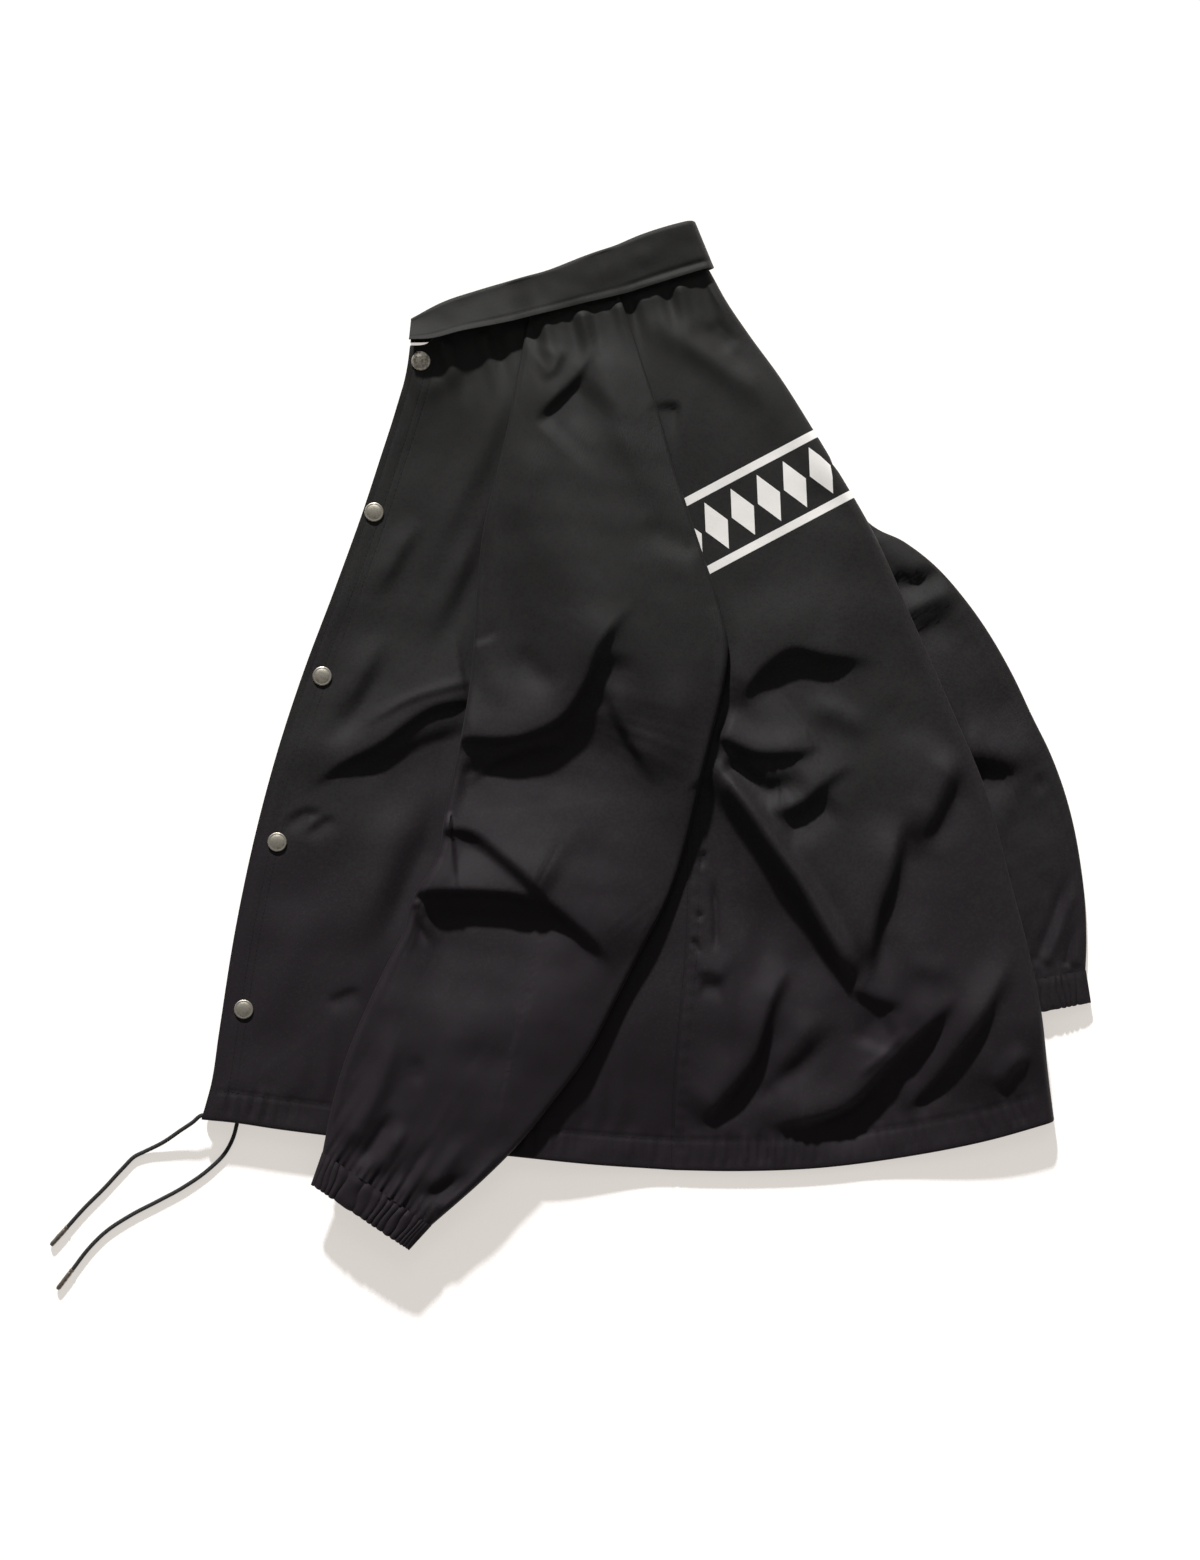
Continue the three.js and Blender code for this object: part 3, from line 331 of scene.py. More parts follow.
def ripples(x, y, size, seed):
    """An even, slow unrest of about 1 high: ten waves of about one size in seeded directions."""
    draw = np.random.default_rng(seed)
    total = np.zeros(np.shape(x))
    for _ in range(10):
        turn = draw.uniform(0, math.pi)
        wave = 2 * math.pi / (size * draw.uniform(0.7, 1.4))
        total += np.sin((x * math.cos(turn) + y * math.sin(turn)) * wave + draw.uniform(0, 6.28))
    return total / 3.2

# %% [markdown]
# ## Mesh maker
# Numpy works out all the points and faces of a piece at once, and one function puts them into a
# mesh. Its vertices are written straight in place, so every finished object stays at the origin.

# %% Mesh maker
def mesh_piece(name, points, quads, triangles=None, uv=None, smooth_to=50, **per_point):
    """A mesh object from points in mm, quads and triangles, at the origin, with an optional UV map
    in metres and one number per point for each named attribute."""
    mesh = bpy.data.meshes.new(name)
    mesh.vertices.add(len(points))
    mesh.vertices.foreach_set("co", (np.asarray(points) * MM).astype(np.float32).ravel())
    triangles = np.zeros((0, 3), int) if triangles is None else triangles
    corners = np.concatenate([quads.ravel(), triangles.ravel()]).astype(np.int32)
    starts = np.concatenate([np.arange(len(quads)) * 4, quads.size + np.arange(len(triangles)) * 3])
    mesh.loops.add(len(corners))
    mesh.loops.foreach_set("vertex_index", corners)
    mesh.polygons.add(len(starts))
    mesh.polygons.foreach_set("loop_start", starts.astype(np.int32))
    mesh.polygons.foreach_set("use_smooth", np.ones(len(starts), bool))
    mesh.update(calc_edges=True)
    if uv is not None:
        layer = mesh.uv_layers.new(name="cloth")
        layer.data.foreach_set("uv", (np.asarray(uv) * MM)[corners].astype(np.float32).ravel())
    for key, values in per_point.items():
        attribute = mesh.attributes.new(key, "FLOAT", "POINT")
        attribute.data.foreach_set("value", np.asarray(values, np.float32).ravel())
    mesh.validate()
    mesh.set_sharp_from_angle(angle=math.radians(smooth_to))
    piece = bpy.data.objects.new(name, mesh)
    bpy.context.scene.collection.objects.link(piece)
    return piece


def outward_sign(points, quads):
    """1 if the quads of a closed surface face out, else -1: the sign of the volume they hold."""
    a, b, c, d = (points[quads[:, k]] for k in range(4))
    volume = (a * np.cross(b, c)).sum() + (a * np.cross(c, d)).sum()
    return 1 if volume > 0 else -1

# %% [markdown]
# ## Cords and their tips
# The hem's drawcord shows its two ends: a round black braid with a crimped metal tip on each. They
# come before the cloth, and their route is also the route of their solids in the frame. A cord
# is a tube on a smooth curve, and a tip is turned metal, a profile carried round an axis.

# %% Turned pieces
def turned(name, profile, segments, foot, direction, wobble=None):
    """A profile of radius and height, in mm, carried round an axis that stands on a foot. The first
    and last points lie on the axis and close it."""
    axis = np.asarray(direction, float) / np.linalg.norm(direction)
    one = np.cross(axis, (0.0, 1.0, 0.0) if abs(axis[1]) < 0.9 else (1.0, 0.0, 0.0))
    one = one / np.linalg.norm(one)
    two = np.cross(axis, one)
    radius, height = np.asarray(profile, float).T
    angle = np.linspace(0, 2 * math.pi, segments, endpoint=False)
    ring = one * np.cos(angle)[:, None] + two * np.sin(angle)[:, None]
    body = radius[1:-1, None, None] * ring + height[1:-1, None, None] * axis
    if wobble is not None:
        body = body + wobble(radius[1:-1, None], angle[None, :])[..., None] * axis
    rows = len(radius) - 2
    points = np.concatenate([body.reshape(-1, 3), [height[0] * axis], [height[-1] * axis]]) + foot
    index = np.arange(rows * segments).reshape(rows, segments)
    index = np.concatenate([index, index[:, :1]], axis=1)
    quads = np.stack([index[:-1, :-1], index[:-1, 1:], index[1:, 1:], index[1:, :-1]], -1).reshape(-1, 4)
    first, last = rows * segments, rows * segments + 1
    low = np.stack([np.full(segments, first), index[0, 1:], index[0, :-1]], -1)
    high = np.stack([np.full(segments, last), index[-1, :-1], index[-1, 1:]], -1)
    return mesh_piece(name, points, quads, np.concatenate([low, high]), smooth_to=40)


# %% Cords
CORD_A = [(-341, -297.4, 13), (-347, -297.6, 12.9), (-354, -303, 11.4), (-363.3, -309.3, 8.6),
          (-378.1, -319.4, 4.6), (-392, -326.4, 2.2), (-400.5, -330.6, 1.7), (-409, -339, 1.7),
          (-424.1, -355.3, 1.7), (-440.5, -371.7, 1.9), (-453, -385.7, 2.1)]
CORD_B = [(-317, -286, 6.6), (-318, -296, 6.6), (-320, -305, 6.2), (-322.7, -314.7, 4),
          (-329.7, -328, 2), (-342.2, -340.5, 1.7), (-363.3, -355.3, 1.7), (-382, -365.4, 1.7),
          (-403.1, -376.4, 1.7), (-424.1, -390.4, 1.7), (-436.6, -402.9, 1.9), (-449.1, -419.2, 2.1)]
CORD_RADIUS = 1.6


def cord_tube(name, route):
    """A round tube on a smooth curve: a ring of 14 points square to the curve at each of 120
    places, its frame carried along by turning it as little as the curve turns."""
    line = curve_through(route)(np.linspace(0, 1, 121))
    tangent = unit(np.gradient(line, axis=0))
    side = unit(np.cross(tangent, (0.0, 0.0, 1.0)))
    lift = np.cross(side, tangent)
    angle = np.linspace(0, 2 * math.pi, 14, endpoint=False)[None, :, None]
    gone = np.concatenate([[0], np.cumsum(length_of(np.diff(line, axis=0)))])
    radius = CORD_RADIUS * (1 + 0.0 * gone)[:, None, None]
    ring = (side[:, None] * np.cos(angle) + lift[:, None] * np.sin(angle)) * radius
    points = (line[:, None] + ring).reshape(-1, 3)
    index = np.arange(121 * 14).reshape(121, 14)
    index = np.concatenate([index, index[:, :1]], axis=1)
    quads = np.stack([index[:-1, :-1], index[:-1, 1:], index[1:, 1:], index[1:, :-1]], -1).reshape(-1, 4)
    points = np.concatenate([points, line[[0, -1]]])
    first, last = len(points) - 2, len(points) - 1
    low = np.stack([np.full(14, first), index[0, 1:], index[0, :-1]], -1)
    high = np.stack([np.full(14, last), index[-1, :-1], index[-1, 1:]], -1)
    around = np.repeat(np.arange(14)[None, :] / 14 * 2 * math.pi * CORD_RADIUS, 121, axis=0)
    along = np.repeat(gone[:, None], 14, axis=1)
    uv = np.concatenate([np.stack([around.ravel(), along.ravel()], -1), [[0, 0], [0, gone[-1]]]])
    triangles = np.concatenate([low, high])
    if outward_sign(points, quads) < 0:
        quads, triangles = quads[:, ::-1], triangles[:, ::-1]
    piece = mesh_piece(name, points, quads, triangles, uv=uv, smooth_to=60)
    print(name, round(gone[-1]), "mm long")
    return piece, line, gone[-1]


AGLET_PROFILE = [(0, -0.8), (1.55, -0.8), (1.9, -0.5), (2.0, 0.2), (1.9, 1.2), (1.74, 1.7), (1.74, 2.3),
                 (1.9, 2.8), (1.96, 4), (1.96, 9), (1.93, 15), (1.84, 17.2), (1.5, 18.6), (0.9, 19), (0, 19)]
tips = []
cords = []
for letter, route in (("a", CORD_A), ("b", CORD_B)):
    piece, line, size = cord_tube(f"cord_{letter}", route)
    end, before = np.array(route[-1], float), np.array(route[-2], float)
    pointing = (end - before) * (1, 1, 0)
    pointing = pointing / np.linalg.norm(pointing)
    foot = np.array([end[0], end[1], 2.1]) + pointing * 0.5
    tip = turned(f"tip_{letter}", AGLET_PROFILE, 24, foot, pointing)
    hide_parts(f"drawcord_{letter}")
    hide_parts(f"aglet_{letter}")
    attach(piece, "root")
    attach(tip, "root")
    path = curve_through(np.array(route, float) * MM)(np.linspace(0, 1, 36))
    round(size * MM, 3)
    cords.append(piece)
    tips.append(tip)

# %% Folds of the body
FRONT_FOLDS = [
    fold(5.6, 32, 5, (300, 790), (340, 762), (380, 741), (405, 722), (430, 706), (470, 697), fade=(0.3, 0.02)),
    fold(-5.0, 9, 52, (336, 790), (386, 766), (430, 746), (474, 734), fade=(0.35, 0.02)),
    fold(1.2, 5, 1.8, (352, 733), (384, 714), (410, 700), (440, 690), (472, 682), fade=(0.4, 0.02)),
    fold(-2.6, 11, 9, (308, 748), (350, 721), (362, 700), (374, 676), (392, 640), fade=(0.4, 0.5)),
    fold(3.2, 12, 8, (330, 716), (352, 694), (368, 664), (382, 628), fade=(0.4, 0.5)),
    fold(-1.9, 3, 10, (284, 836), (297, 817), (313, 813), (320, 820), fade=(0.4, 0.2)),
    fold(-1.7, 3, 8, (304, 840), (319, 826), (336, 818), fade=(0.4, 0.2)),
    fold(-4.0, 15, 15, (452, 790), (425, 840), (402, 900), (382, 962), fade=(0.4, 0.4)),
    fold(3.4, 18, 16, (436, 770), (405, 830), (382, 890), (356, 960), fade=(0.4, 0.4)),
    fold(-1.7, 3.4, 10, (326, 1006), (342, 997), (362, 990)),
    fold(3.2, 16, 9, (525, 344), (518, 387), (497, 437), (468, 502), (446, 545), (412, 606), fade=(0.1, 0.5)),
    fold(-2.4, 8, 12, (520, 380), (500, 444), (474, 500), (440, 570), (420, 620), fade=(0.3, 0.5)),
    fold(3.0, 12, 7, (424, 516), (406, 538), (388, 570), (370, 600), fade=(0.4, 0.4)),
    fold(2.4, 14, 9, (508, 470), (470, 545), (440, 610), (410, 660), fade=(0.3, 0.5)),
    fold(-2.2, 9, 12, (492, 540), (462, 600), (430, 660), fade=(0.4, 0.5)),
    fold(4.2, 13, 9, (476, 346), (452, 366), (430, 386), (414, 402), fade=(0.3, 0.4)),
    fold(-1.8, 8, 10, (480, 340), (470, 372), (452, 410), fade=(0.2, 0.5)),
    fold(1.8, 16, 16, (300, 890), (290, 960), (276, 1040), fade=(0.4, 0.4)),
]
BACK_FOLDS = [
    fold(6.2, 46, 6, (738, 712), (743, 690), (762, 665), (790, 647), (830, 654), (882, 657), fade=(0.2, 0.3)),
    fold(-5.4, 12, 50, (752, 712), (790, 682), (830, 680), (870, 672), fade=(0.3, 0.4)),
    fold(6.4, 16, 4.5, (716, 733), (733, 741), (752, 750), (790, 751), (826, 743), fade=(0.1, 0.4)),
    fold(-6.5, 9, 11, (722, 760), (746, 776), (768, 790), (788, 786), (804, 772), fade=(0.15, 0.3)),
    fold(5.2, 22, 5.5, (764, 806), (782, 808), (800, 800), (828, 776), (862, 757), fade=(0.25, 0.5)),
    fold(-4.5, 7, 15, (778, 822), (800, 822), (818, 808), (834, 794), fade=(0.3, 0.3)),
    fold(8.5, 7.5, 7.5, (712, 758), (742, 798), (772, 842), (804, 888), (838, 948), (862, 990), fade=(0.12, 0.15)),
    fold(-6.5, 9, 30, (696, 780), (736, 834), (776, 890), (808, 938), (838, 994), fade=(0.02, 0.2)),
    fold(4.4, 16, 5, (850, 984), (880, 998), (908, 1003), fade=(0.2, 0.4)),
    fold(-2.2, 10, 30, (862, 1050), (872, 1028), (892, 1014), fade=(0.3, 0.3)),
    fold(7.8, 24, 6, (758, 1125), (783, 1121), (841, 1107), (884, 1064), (927, 1021), (960, 990), fade=(0.2, 0.2)),
    fold(-4.5, 8, 22, (800, 1134), (850, 1120), (898, 1082), (938, 1036), (964, 1004), fade=(0.25, 0.25)),
    fold(1.6, 3, 3, (856, 1078), (882, 1056), (908, 1026)),
    fold(4.6, 18, 5, (895, 1113), (913, 1100), (956, 1049), (985, 1006), (1003, 963), fade=(0.2, 0.3)),
    fold(-2.6, 7, 12, (908, 1118), (932, 1096), (968, 1052), (996, 1006), fade=(0.3, 0.3)),
    fold(3.0, 14, 8, (930, 1072), (976, 1016), (1004, 968), (1018, 930), fade=(0.4, 0.4)),
    fold(3.6, 10, 4.5, (998, 1092), (1012, 1066), (1036, 1052), fade=(0.3, 0.3)),
    fold(7.0, 22, 6, (694, 1124), (724, 1094), (750, 1062), (768, 1004), (790, 958), fade=(0.15, 0.25)),
    fold(-3.6, 7, 14, (706, 1128), (738, 1096), (764, 1058), (782, 1006), fade=(0.3, 0.3)),
    fold(6.4, 20, 7, (866, 984), (872, 922), (888, 874), (898, 810), fade=(0.25, 0.3)),
    fold(-4.8, 7, 20, (876, 980), (886, 922), (902, 872), (912, 820), fade=(0.25, 0.25)),
    fold(7.0, 22, 9, (914, 846), (930, 812), (944, 780), (962, 744), fade=(0.35, 0.3)),
    fold(-3.0, 8, 16, (926, 852), (944, 816), (966, 766), fade=(0.35, 0.35)),
    fold(1.4, 18, 14, (934, 716), (914, 760), (900, 806), fade=(0.4, 0.4)),
    fold(-1.2, 12, 12, (886, 690), (900, 720), (912, 752), fade=(0.4, 0.4)),
    fold(2.6, 10, 10, (800, 704), (842, 716), (872, 740), fade=(0.4, 0.4)),
    fold(1.4, 9, 8, (905, 962), (926, 968), (950, 976), fade=(0.4, 0.4)),
    fold(5.2, 16, 12, (641, 306), (680, 334), (727, 366), (792, 423), fade=(0.15, 0.5)),
    fold(-3.0, 8, 12, (690, 320), (722, 348), (760, 382), fade=(0.2, 0.4)),
    fold(3.0, 12, 4.5, (722, 306), (733, 322), (748, 340), fade=(0.3, 0.4)),
    fold(-2.6, 5, 12, (712, 318), (724, 332), (740, 348), fade=(0.3, 0.4)),
    fold(-3.2, 3.4, 26, (646, 414), (664, 410), (684, 410), fade=(0.05, 0.3)),
    fold(0.5, 22, 20, (712, 420), (750, 470), (800, 540), fade=(0.4, 0.5)),
    fold(-1.8, 18, 18, (760, 420), (800, 470), (832, 540), fade=(0.4, 0.4)),
    fold(-2.4, 2.8, 2.8, (713, 878), (716, 918), (716, 956), fade=(0.3, 0.3)),
    fold(2.0, 13, 4, (692, 970), (712, 971), (730, 978), fade=(0.35, 0.35)),
    fold(-2.0, 4, 9, (698, 984), (712, 987), (726, 986), fade=(0.3, 0.3)),
    fold(-1.8, 2.2, 2.2, (692, 938), (701, 956), fade=(0.3, 0.4)),
    fold(-1.6, 2.2, 2.2, (698, 920), (702, 912), fade=(0.3, 0.4)),
    fold(-2.0, 2.4, 2.4, (704, 850), (702, 872), fade=(0.2, 0.5)),
    fold(2.4, 18, 18, (742, 900), (736, 980), (720, 1050), fade=(0.4, 0.4)),
    fold(-2.0, 14, 14, (762, 880), (762, 950), (744, 1030), fade=(0.4, 0.4)),
    fold(-2.4, 7, 9, (842, 1020), (806, 1062), (770, 1092), (758, 1112), fade=(0.4, 0.2)),
    fold(2.8, 12, 9, (820, 1008), (792, 1048), (770, 1076), fade=(0.4, 0.4)),
    fold(2.2, 16, 16, (1030, 820), (1036, 900), (1030, 980), fade=(0.4, 0.4)),
    fold(2.0, 14, 14, (880, 540), (920, 620), (950, 700), fade=(0.4, 0.4)),
]

# %% Folds of the sleeves
LEFT_SLEEVE_FOLDS = [
    fold(8.5, 36, 6, (456, 735), (524, 733), (560, 715), (582, 682), (596, 646), (614, 621), (634, 598),
         fade=(0.02, 0.3)),
    fold(-8.5, 12, 66, (444, 778), (510, 770), (562, 756), (590, 726), (604, 684), fade=(0.02, 0.3)),
    fold(-4.0, 9, 14, (596, 716), (607, 684), (615, 650), fade=(0.3, 0.3)),
    fold(2.6, 5, 4, (462, 788), (481, 770), (510, 753), (546, 744), (584, 748), fade=(0.3, 0.4)),
    fold(5.0, 14, 5, (602, 668), (619, 714), (640, 752), (662, 786), fade=(0.35, 0.35)),
    fold(3.0, 30, 60, (482, 570), (540, 574), (590, 586), (650, 582), (708, 572), fade=(0.05, 0.1)),
    fold(2.6, 13, 12, (476, 640), (500, 690), (528, 706), fade=(0.1, 0.5)),
    fold(-2.2, 10, 10, (516, 640), (540, 676), (566, 690), fade=(0.4, 0.4)),
    fold(5.8, 46, 5.5, (441, 825), (474, 830), (502, 852), (531, 877), (549, 898), (567, 913), (596, 938),
         (620, 972), fade=(0.04, 0.2)),
    fold(-2.6, 7, 40, (452, 840), (488, 858), (518, 884), (545, 912), (572, 940), (604, 974), fade=(0.1, 0.2)),
    fold(7.4, 34, 5, (414, 889), (450, 888), (490, 889), (522, 893), (546, 906), fade=(0.03, 0.2)),
    fold(-9.5, 13, 78, (396, 918), (440, 920), (490, 922), (540, 926), (580, 940), fade=(0.3, 0.35)),
    fold(3.0, 5, 4, (414, 898), (424, 920), (434, 950), fade=(0.1, 0.5)),
    fold(-2.4, 4, 4, (412, 906), (420, 928), (432, 948), fade=(0.1, 0.5)),
    fold(1.2, 18, 16, (600, 846), (570, 810), (540, 800), fade=(0.4, 0.4)),
    fold(0.9, 24, 18, (430, 1048), (470, 1022), (520, 1030), (548, 1056), fade=(0.4, 0.4)),
    fold(-1.4, 14, 24, (452, 1076), (490, 1056), (520, 1074), fade=(0.4, 0.4)),
    fold(-1.0, 4, 7, (416, 1052), (420, 1072), (416, 1088), fade=(0.4, 0.4)),
    fold(3.0, 10, 8, (350, 1150), (372, 1104), (388, 1060), (392, 1010), fade=(0.15, 0.4)),
    fold(-3.0, 5, 6, (358, 1168), (378, 1138), (396, 1108), fade=(0.3, 0.35)),
    fold(2.6, 8, 5, (378, 1178), (394, 1148), (410, 1122), fade=(0.3, 0.4)),
    fold(-2.0, 5, 5, (400, 1188), (418, 1158), (436, 1134), fade=(0.3, 0.5)),
    fold(2.2, 9, 6, (422, 1196), (446, 1166), (470, 1132), fade=(0.3, 0.5)),
    fold(-2.6, 6, 8, (418, 1200), (440, 1190), (474, 1172), fade=(0.3, 0.4)),
    fold(2.8, 8, 8, (440, 1216), (476, 1184), (506, 1140), fade=(0.1, 0.4)),
    fold(4.0, 34, 5, (528, 424), (550, 402), (574, 378), (592, 344), fade=(0.4, 0.3)),
    fold(-3.4, 6, 40, (538, 430), (564, 404), (590, 376), fade=(0.25, 0.3)),
    fold(2.2, 16, 5, (538, 380), (552, 370), (562, 346), fade=(0.3, 0.3)),
    fold(2.8, 16, 12, (600, 330), (612, 400), (640, 470), (676, 528), fade=(0.2, 0.5)),
    fold(-2.2, 12, 12, (570, 336), (578, 400), (600, 470), fade=(0.2, 0.5)),
    fold(2.0, 14, 14, (540, 440), (520, 500), (504, 540), fade=(0.4, 0.4)),
    fold(-1.8, 12, 10, (640, 520), (668, 540), (700, 552), fade=(0.4, 0.2)),
    fold(2.6, 18, 18, (690, 640), (676, 720), (654, 800), fade=(0.4, 0.4)),
]
RIGHT_SLEEVE_FOLDS = [
    fold(3.6, 8, 5, (868, 534), (893, 554), (912, 564), (940, 571), fade=(0.05, 0.3)),
    fold(-3.4, 6, 5, (876, 524), (896, 537), (914, 554), fade=(0.1, 0.4)),
    fold(-5.0, 6, 15, (888, 581), (914, 583), (940, 577), fade=(0.05, 0.3)),
    fold(4.4, 16, 5, (898, 618), (918, 606), (940, 598), (968, 597), fade=(0.05, 0.4)),
    fold(-5.2, 7, 20, (904, 640), (930, 629), (962, 612), fade=(0.05, 0.4)),
    fold(-1.8, 3, 8, (966, 610), (976, 616), (978, 632), fade=(0.2, 0.4)),
    fold(4.6, 22, 5, (962, 754), (990, 756), (1014, 762), (1034, 776), fade=(0.05, 0.4)),
    fold(-4.4, 8, 20, (970, 776), (996, 778), (1020, 784), fade=(0.1, 0.4)),
    fold(-1.8, 3, 8, (1032, 784), (1042, 780), (1046, 796), fade=(0.2, 0.4)),
    fold(1.4, 14, 14, (1010, 690), (1032, 760), (1040, 830), fade=(0.4, 0.4)),
    fold(2.4, 7, 5, (1044, 968), (1058, 934), (1072, 896), (1084, 866), fade=(0.1, 0.4)),
    fold(-2.6, 5, 5, (1036, 968), (1050, 934), (1064, 896), (1078, 862), fade=(0.1, 0.4)),
    fold(-1.9, 4, 4, (1068, 968), (1074, 944), (1081, 916), fade=(0.1, 0.4)),
    fold(1.8, 5, 5, (1076, 968), (1082, 944), (1088, 918), fade=(0.1, 0.4)),
]
HIDDEN_FOLDS = [
    fold(2.0, 16, 8, (700, 760), (780, 850), (850, 980), fade=(0.3, 0.3)),
    fold(1.6, 12, 8, (330, 780), (400, 730), (470, 700), fade=(0.3, 0.3)),
    fold(1.8, 9, 14, (820, 1090), (900, 1040), (980, 960), fade=(0.3, 0.3)),
    fold(1.4, 12, 12, (420, 500), (360, 640), (330, 740), fade=(0.3, 0.3)),
    fold(1.5, 12, 9, (560, 860), (600, 950), (600, 1040), fade=(0.3, 0.3)),
    fold(1.5, 10, 10, (760, 420), (820, 520), (900, 620), fade=(0.3, 0.3)),
]
print("folds placed by hand:", sum(map(len, (FRONT_FOLDS, BACK_FOLDS, LEFT_SLEEVE_FOLDS, RIGHT_SLEEVE_FOLDS, HIDDEN_FOLDS))))

# %% [markdown]
# ## How high each layer lies
# From the floor up there is the far sleeve, the far half of the body, the near half, and the near
# sleeve. Near the collar they come together at the neck seam. The folds rise from the upper
# layers only where nothing lies on them.

# %% Layers
HEM_DROOP = 9.5  # how far the near panels sink towards the floor along the middle of the hem


def hem_distance(x, y):
    """The distance to the hem of the fronts."""
    line = curve_through(HEM_FRONT)(np.linspace(0, 1, 61))
    nearest = np.full(np.shape(x), 1e9)
    for p in line:
        nearest = np.minimum(nearest, np.hypot(x - p[0], y - p[1]))
    return nearest


def below_collar(x, y):
    """How far a point is from the collar, and 0 under it."""
    return np.maximum(0, -inside_collar(x, y))


def lowest(x, y):
    """Middle height of a cloth on the floor; it makes room for the collar's lower half."""
    return CLOTH / 2 + 4.4 * (1 - ease(0, 70, below_collar(x, y)))


def lower_panel(x, y):
    """Middle height of the far body panels: they rise where the far sleeve is under them."""
    room = 4.7 + 6.2 * ease(0, 125, below_collar(x, y))
    return lowest(x, y) + room * ease(-80, 0, inside_right_sleeve(x, y))


def body_relief(x, y):
    """Folds and slow unrest of the near body panels, where they lie open."""
    sleeve = -inside_left_sleeve(x, y)
    edge = inside_body(x, y)
    open_cloth = ease(-12, 14, sleeve) * ease(0, 24, edge)
    rise = folds_at(FRONT_FOLDS, x, y) + folds_at(BACK_FOLDS, x, y)
    unrest = 0.45 * ripples(x, y, 80, 3) + 0.16 * ripples(x, y, 34, 4) + 0.03 * ripples(x, y, 12, 5)
    return rise * open_cloth + unrest * ease(-4, 20, sleeve) * ease(0, 18, edge)


def neck_pleats(x, y):
    """Soft pleats where the neck seam draws the near cloth in: two sines of the place along the
    collar, on a swell over the sleeve and a lower one over the back, all fading away from it."""
    below = below_collar(x, y)
    along = 0.97 * x + 0.24 * y
    pleats = 2.0 * np.sin(along * 2 * math.pi / 27 + 0.8) + 1.0 * np.sin(along * 2 * math.pi / 15.5 + 2)
    swell = 4.6 * ease(-105, -75, x) - 2.2 * ease(-45, -10, x)
    return (pleats + swell) * ease(0, 9, below) * np.exp(-((below / 34) ** 2))


def upper_panel(x, y, relief=True):
    """Middle height of the near body panels: the far ones, plus the air between, plus folds."""
    droop = ease(-100, 20, x) * ease(0, 150, 312 - x) * (1 - ease(0, 130, y + 330))
    height = lower_panel(x, y) + 15 + 2.5 * ease(0, 90, inside_body(x, y)) - HEM_DROOP * droop
    if relief:
        height = height + body_relief(x, y)
    return mix(18, height, ease(0, 70, below_collar(x, y))) + neck_pleats(x, y)


def folded_overlap(x, y):
    """Middle height of the far front's edge, folded back under the near front."""
    near_hem = 1 - ease(26, 67, hem_distance(x, y))
    return upper_panel(x, y, relief=False) - 2.8 - 4.4 * near_hem


def upper_sleeve_base(x, y):
    """Middle height of the near sleeve's lower layer: just over the body, sinking past the hem."""
    return upper_panel(x, y) + 2.6 - 1.5 * ease(0, 100, -inside_body(x, y))


def left_sleeve_relief(x, y):
    """Folds and unrest of the near sleeve's upper layer."""
    inside = inside_left_sleeve(x, y)
    unrest = 0.5 * ripples(x, y, 85, 7) + 0.14 * ripples(x, y, 32, 8) + 0.03 * ripples(x, y, 12, 9)
    rise = folds_at(LEFT_SLEEVE_FOLDS, x, y) + unrest
    return rise * np.where(rise > 0, ease(0, 5, inside), ease(0, 14, inside))


def right_sleeve_relief(x, y):
    """Folds and unrest of the far sleeve's upper layer, past the body's edge."""
    shown = ease(-10, 2, -inside_body(x, y)) * ease(0, 12, inside_right_sleeve(x, y))
    unrest = 0.4 * ripples(x, y, 50, 11) + 0.15 * ripples(x, y, 22, 12)
    return (folds_at(RIGHT_SLEEVE_FOLDS, x, y) + unrest) * shown


def hidden_relief(x, y):
    """Low upward folds of the cloth that lies on the floor."""
    return np.maximum(0, folds_at(HIDDEN_FOLDS, x, y)) * ease(0, 40, inside_body(x, y))

# %% [markdown]
# ## Cloth as a wall
# Every cloth starts as a grid of points in the middle of its thickness. Solidify would make a wall
# of it too, but here both faces are worked out at once, so the outer face can carry its own
# attribute for the print.

# %% Wall maker
def grid_normals(grid, closed=False):
    """Across the columns times down the rows, from the neighbours on both sides."""
    down = np.gradient(grid, axis=0)
    if closed:
        across = np.roll(grid, -1, axis=1) - np.roll(grid, 1, axis=1)
    else:
        across = np.gradient(grid, axis=1)
    return unit(np.cross(across, down))


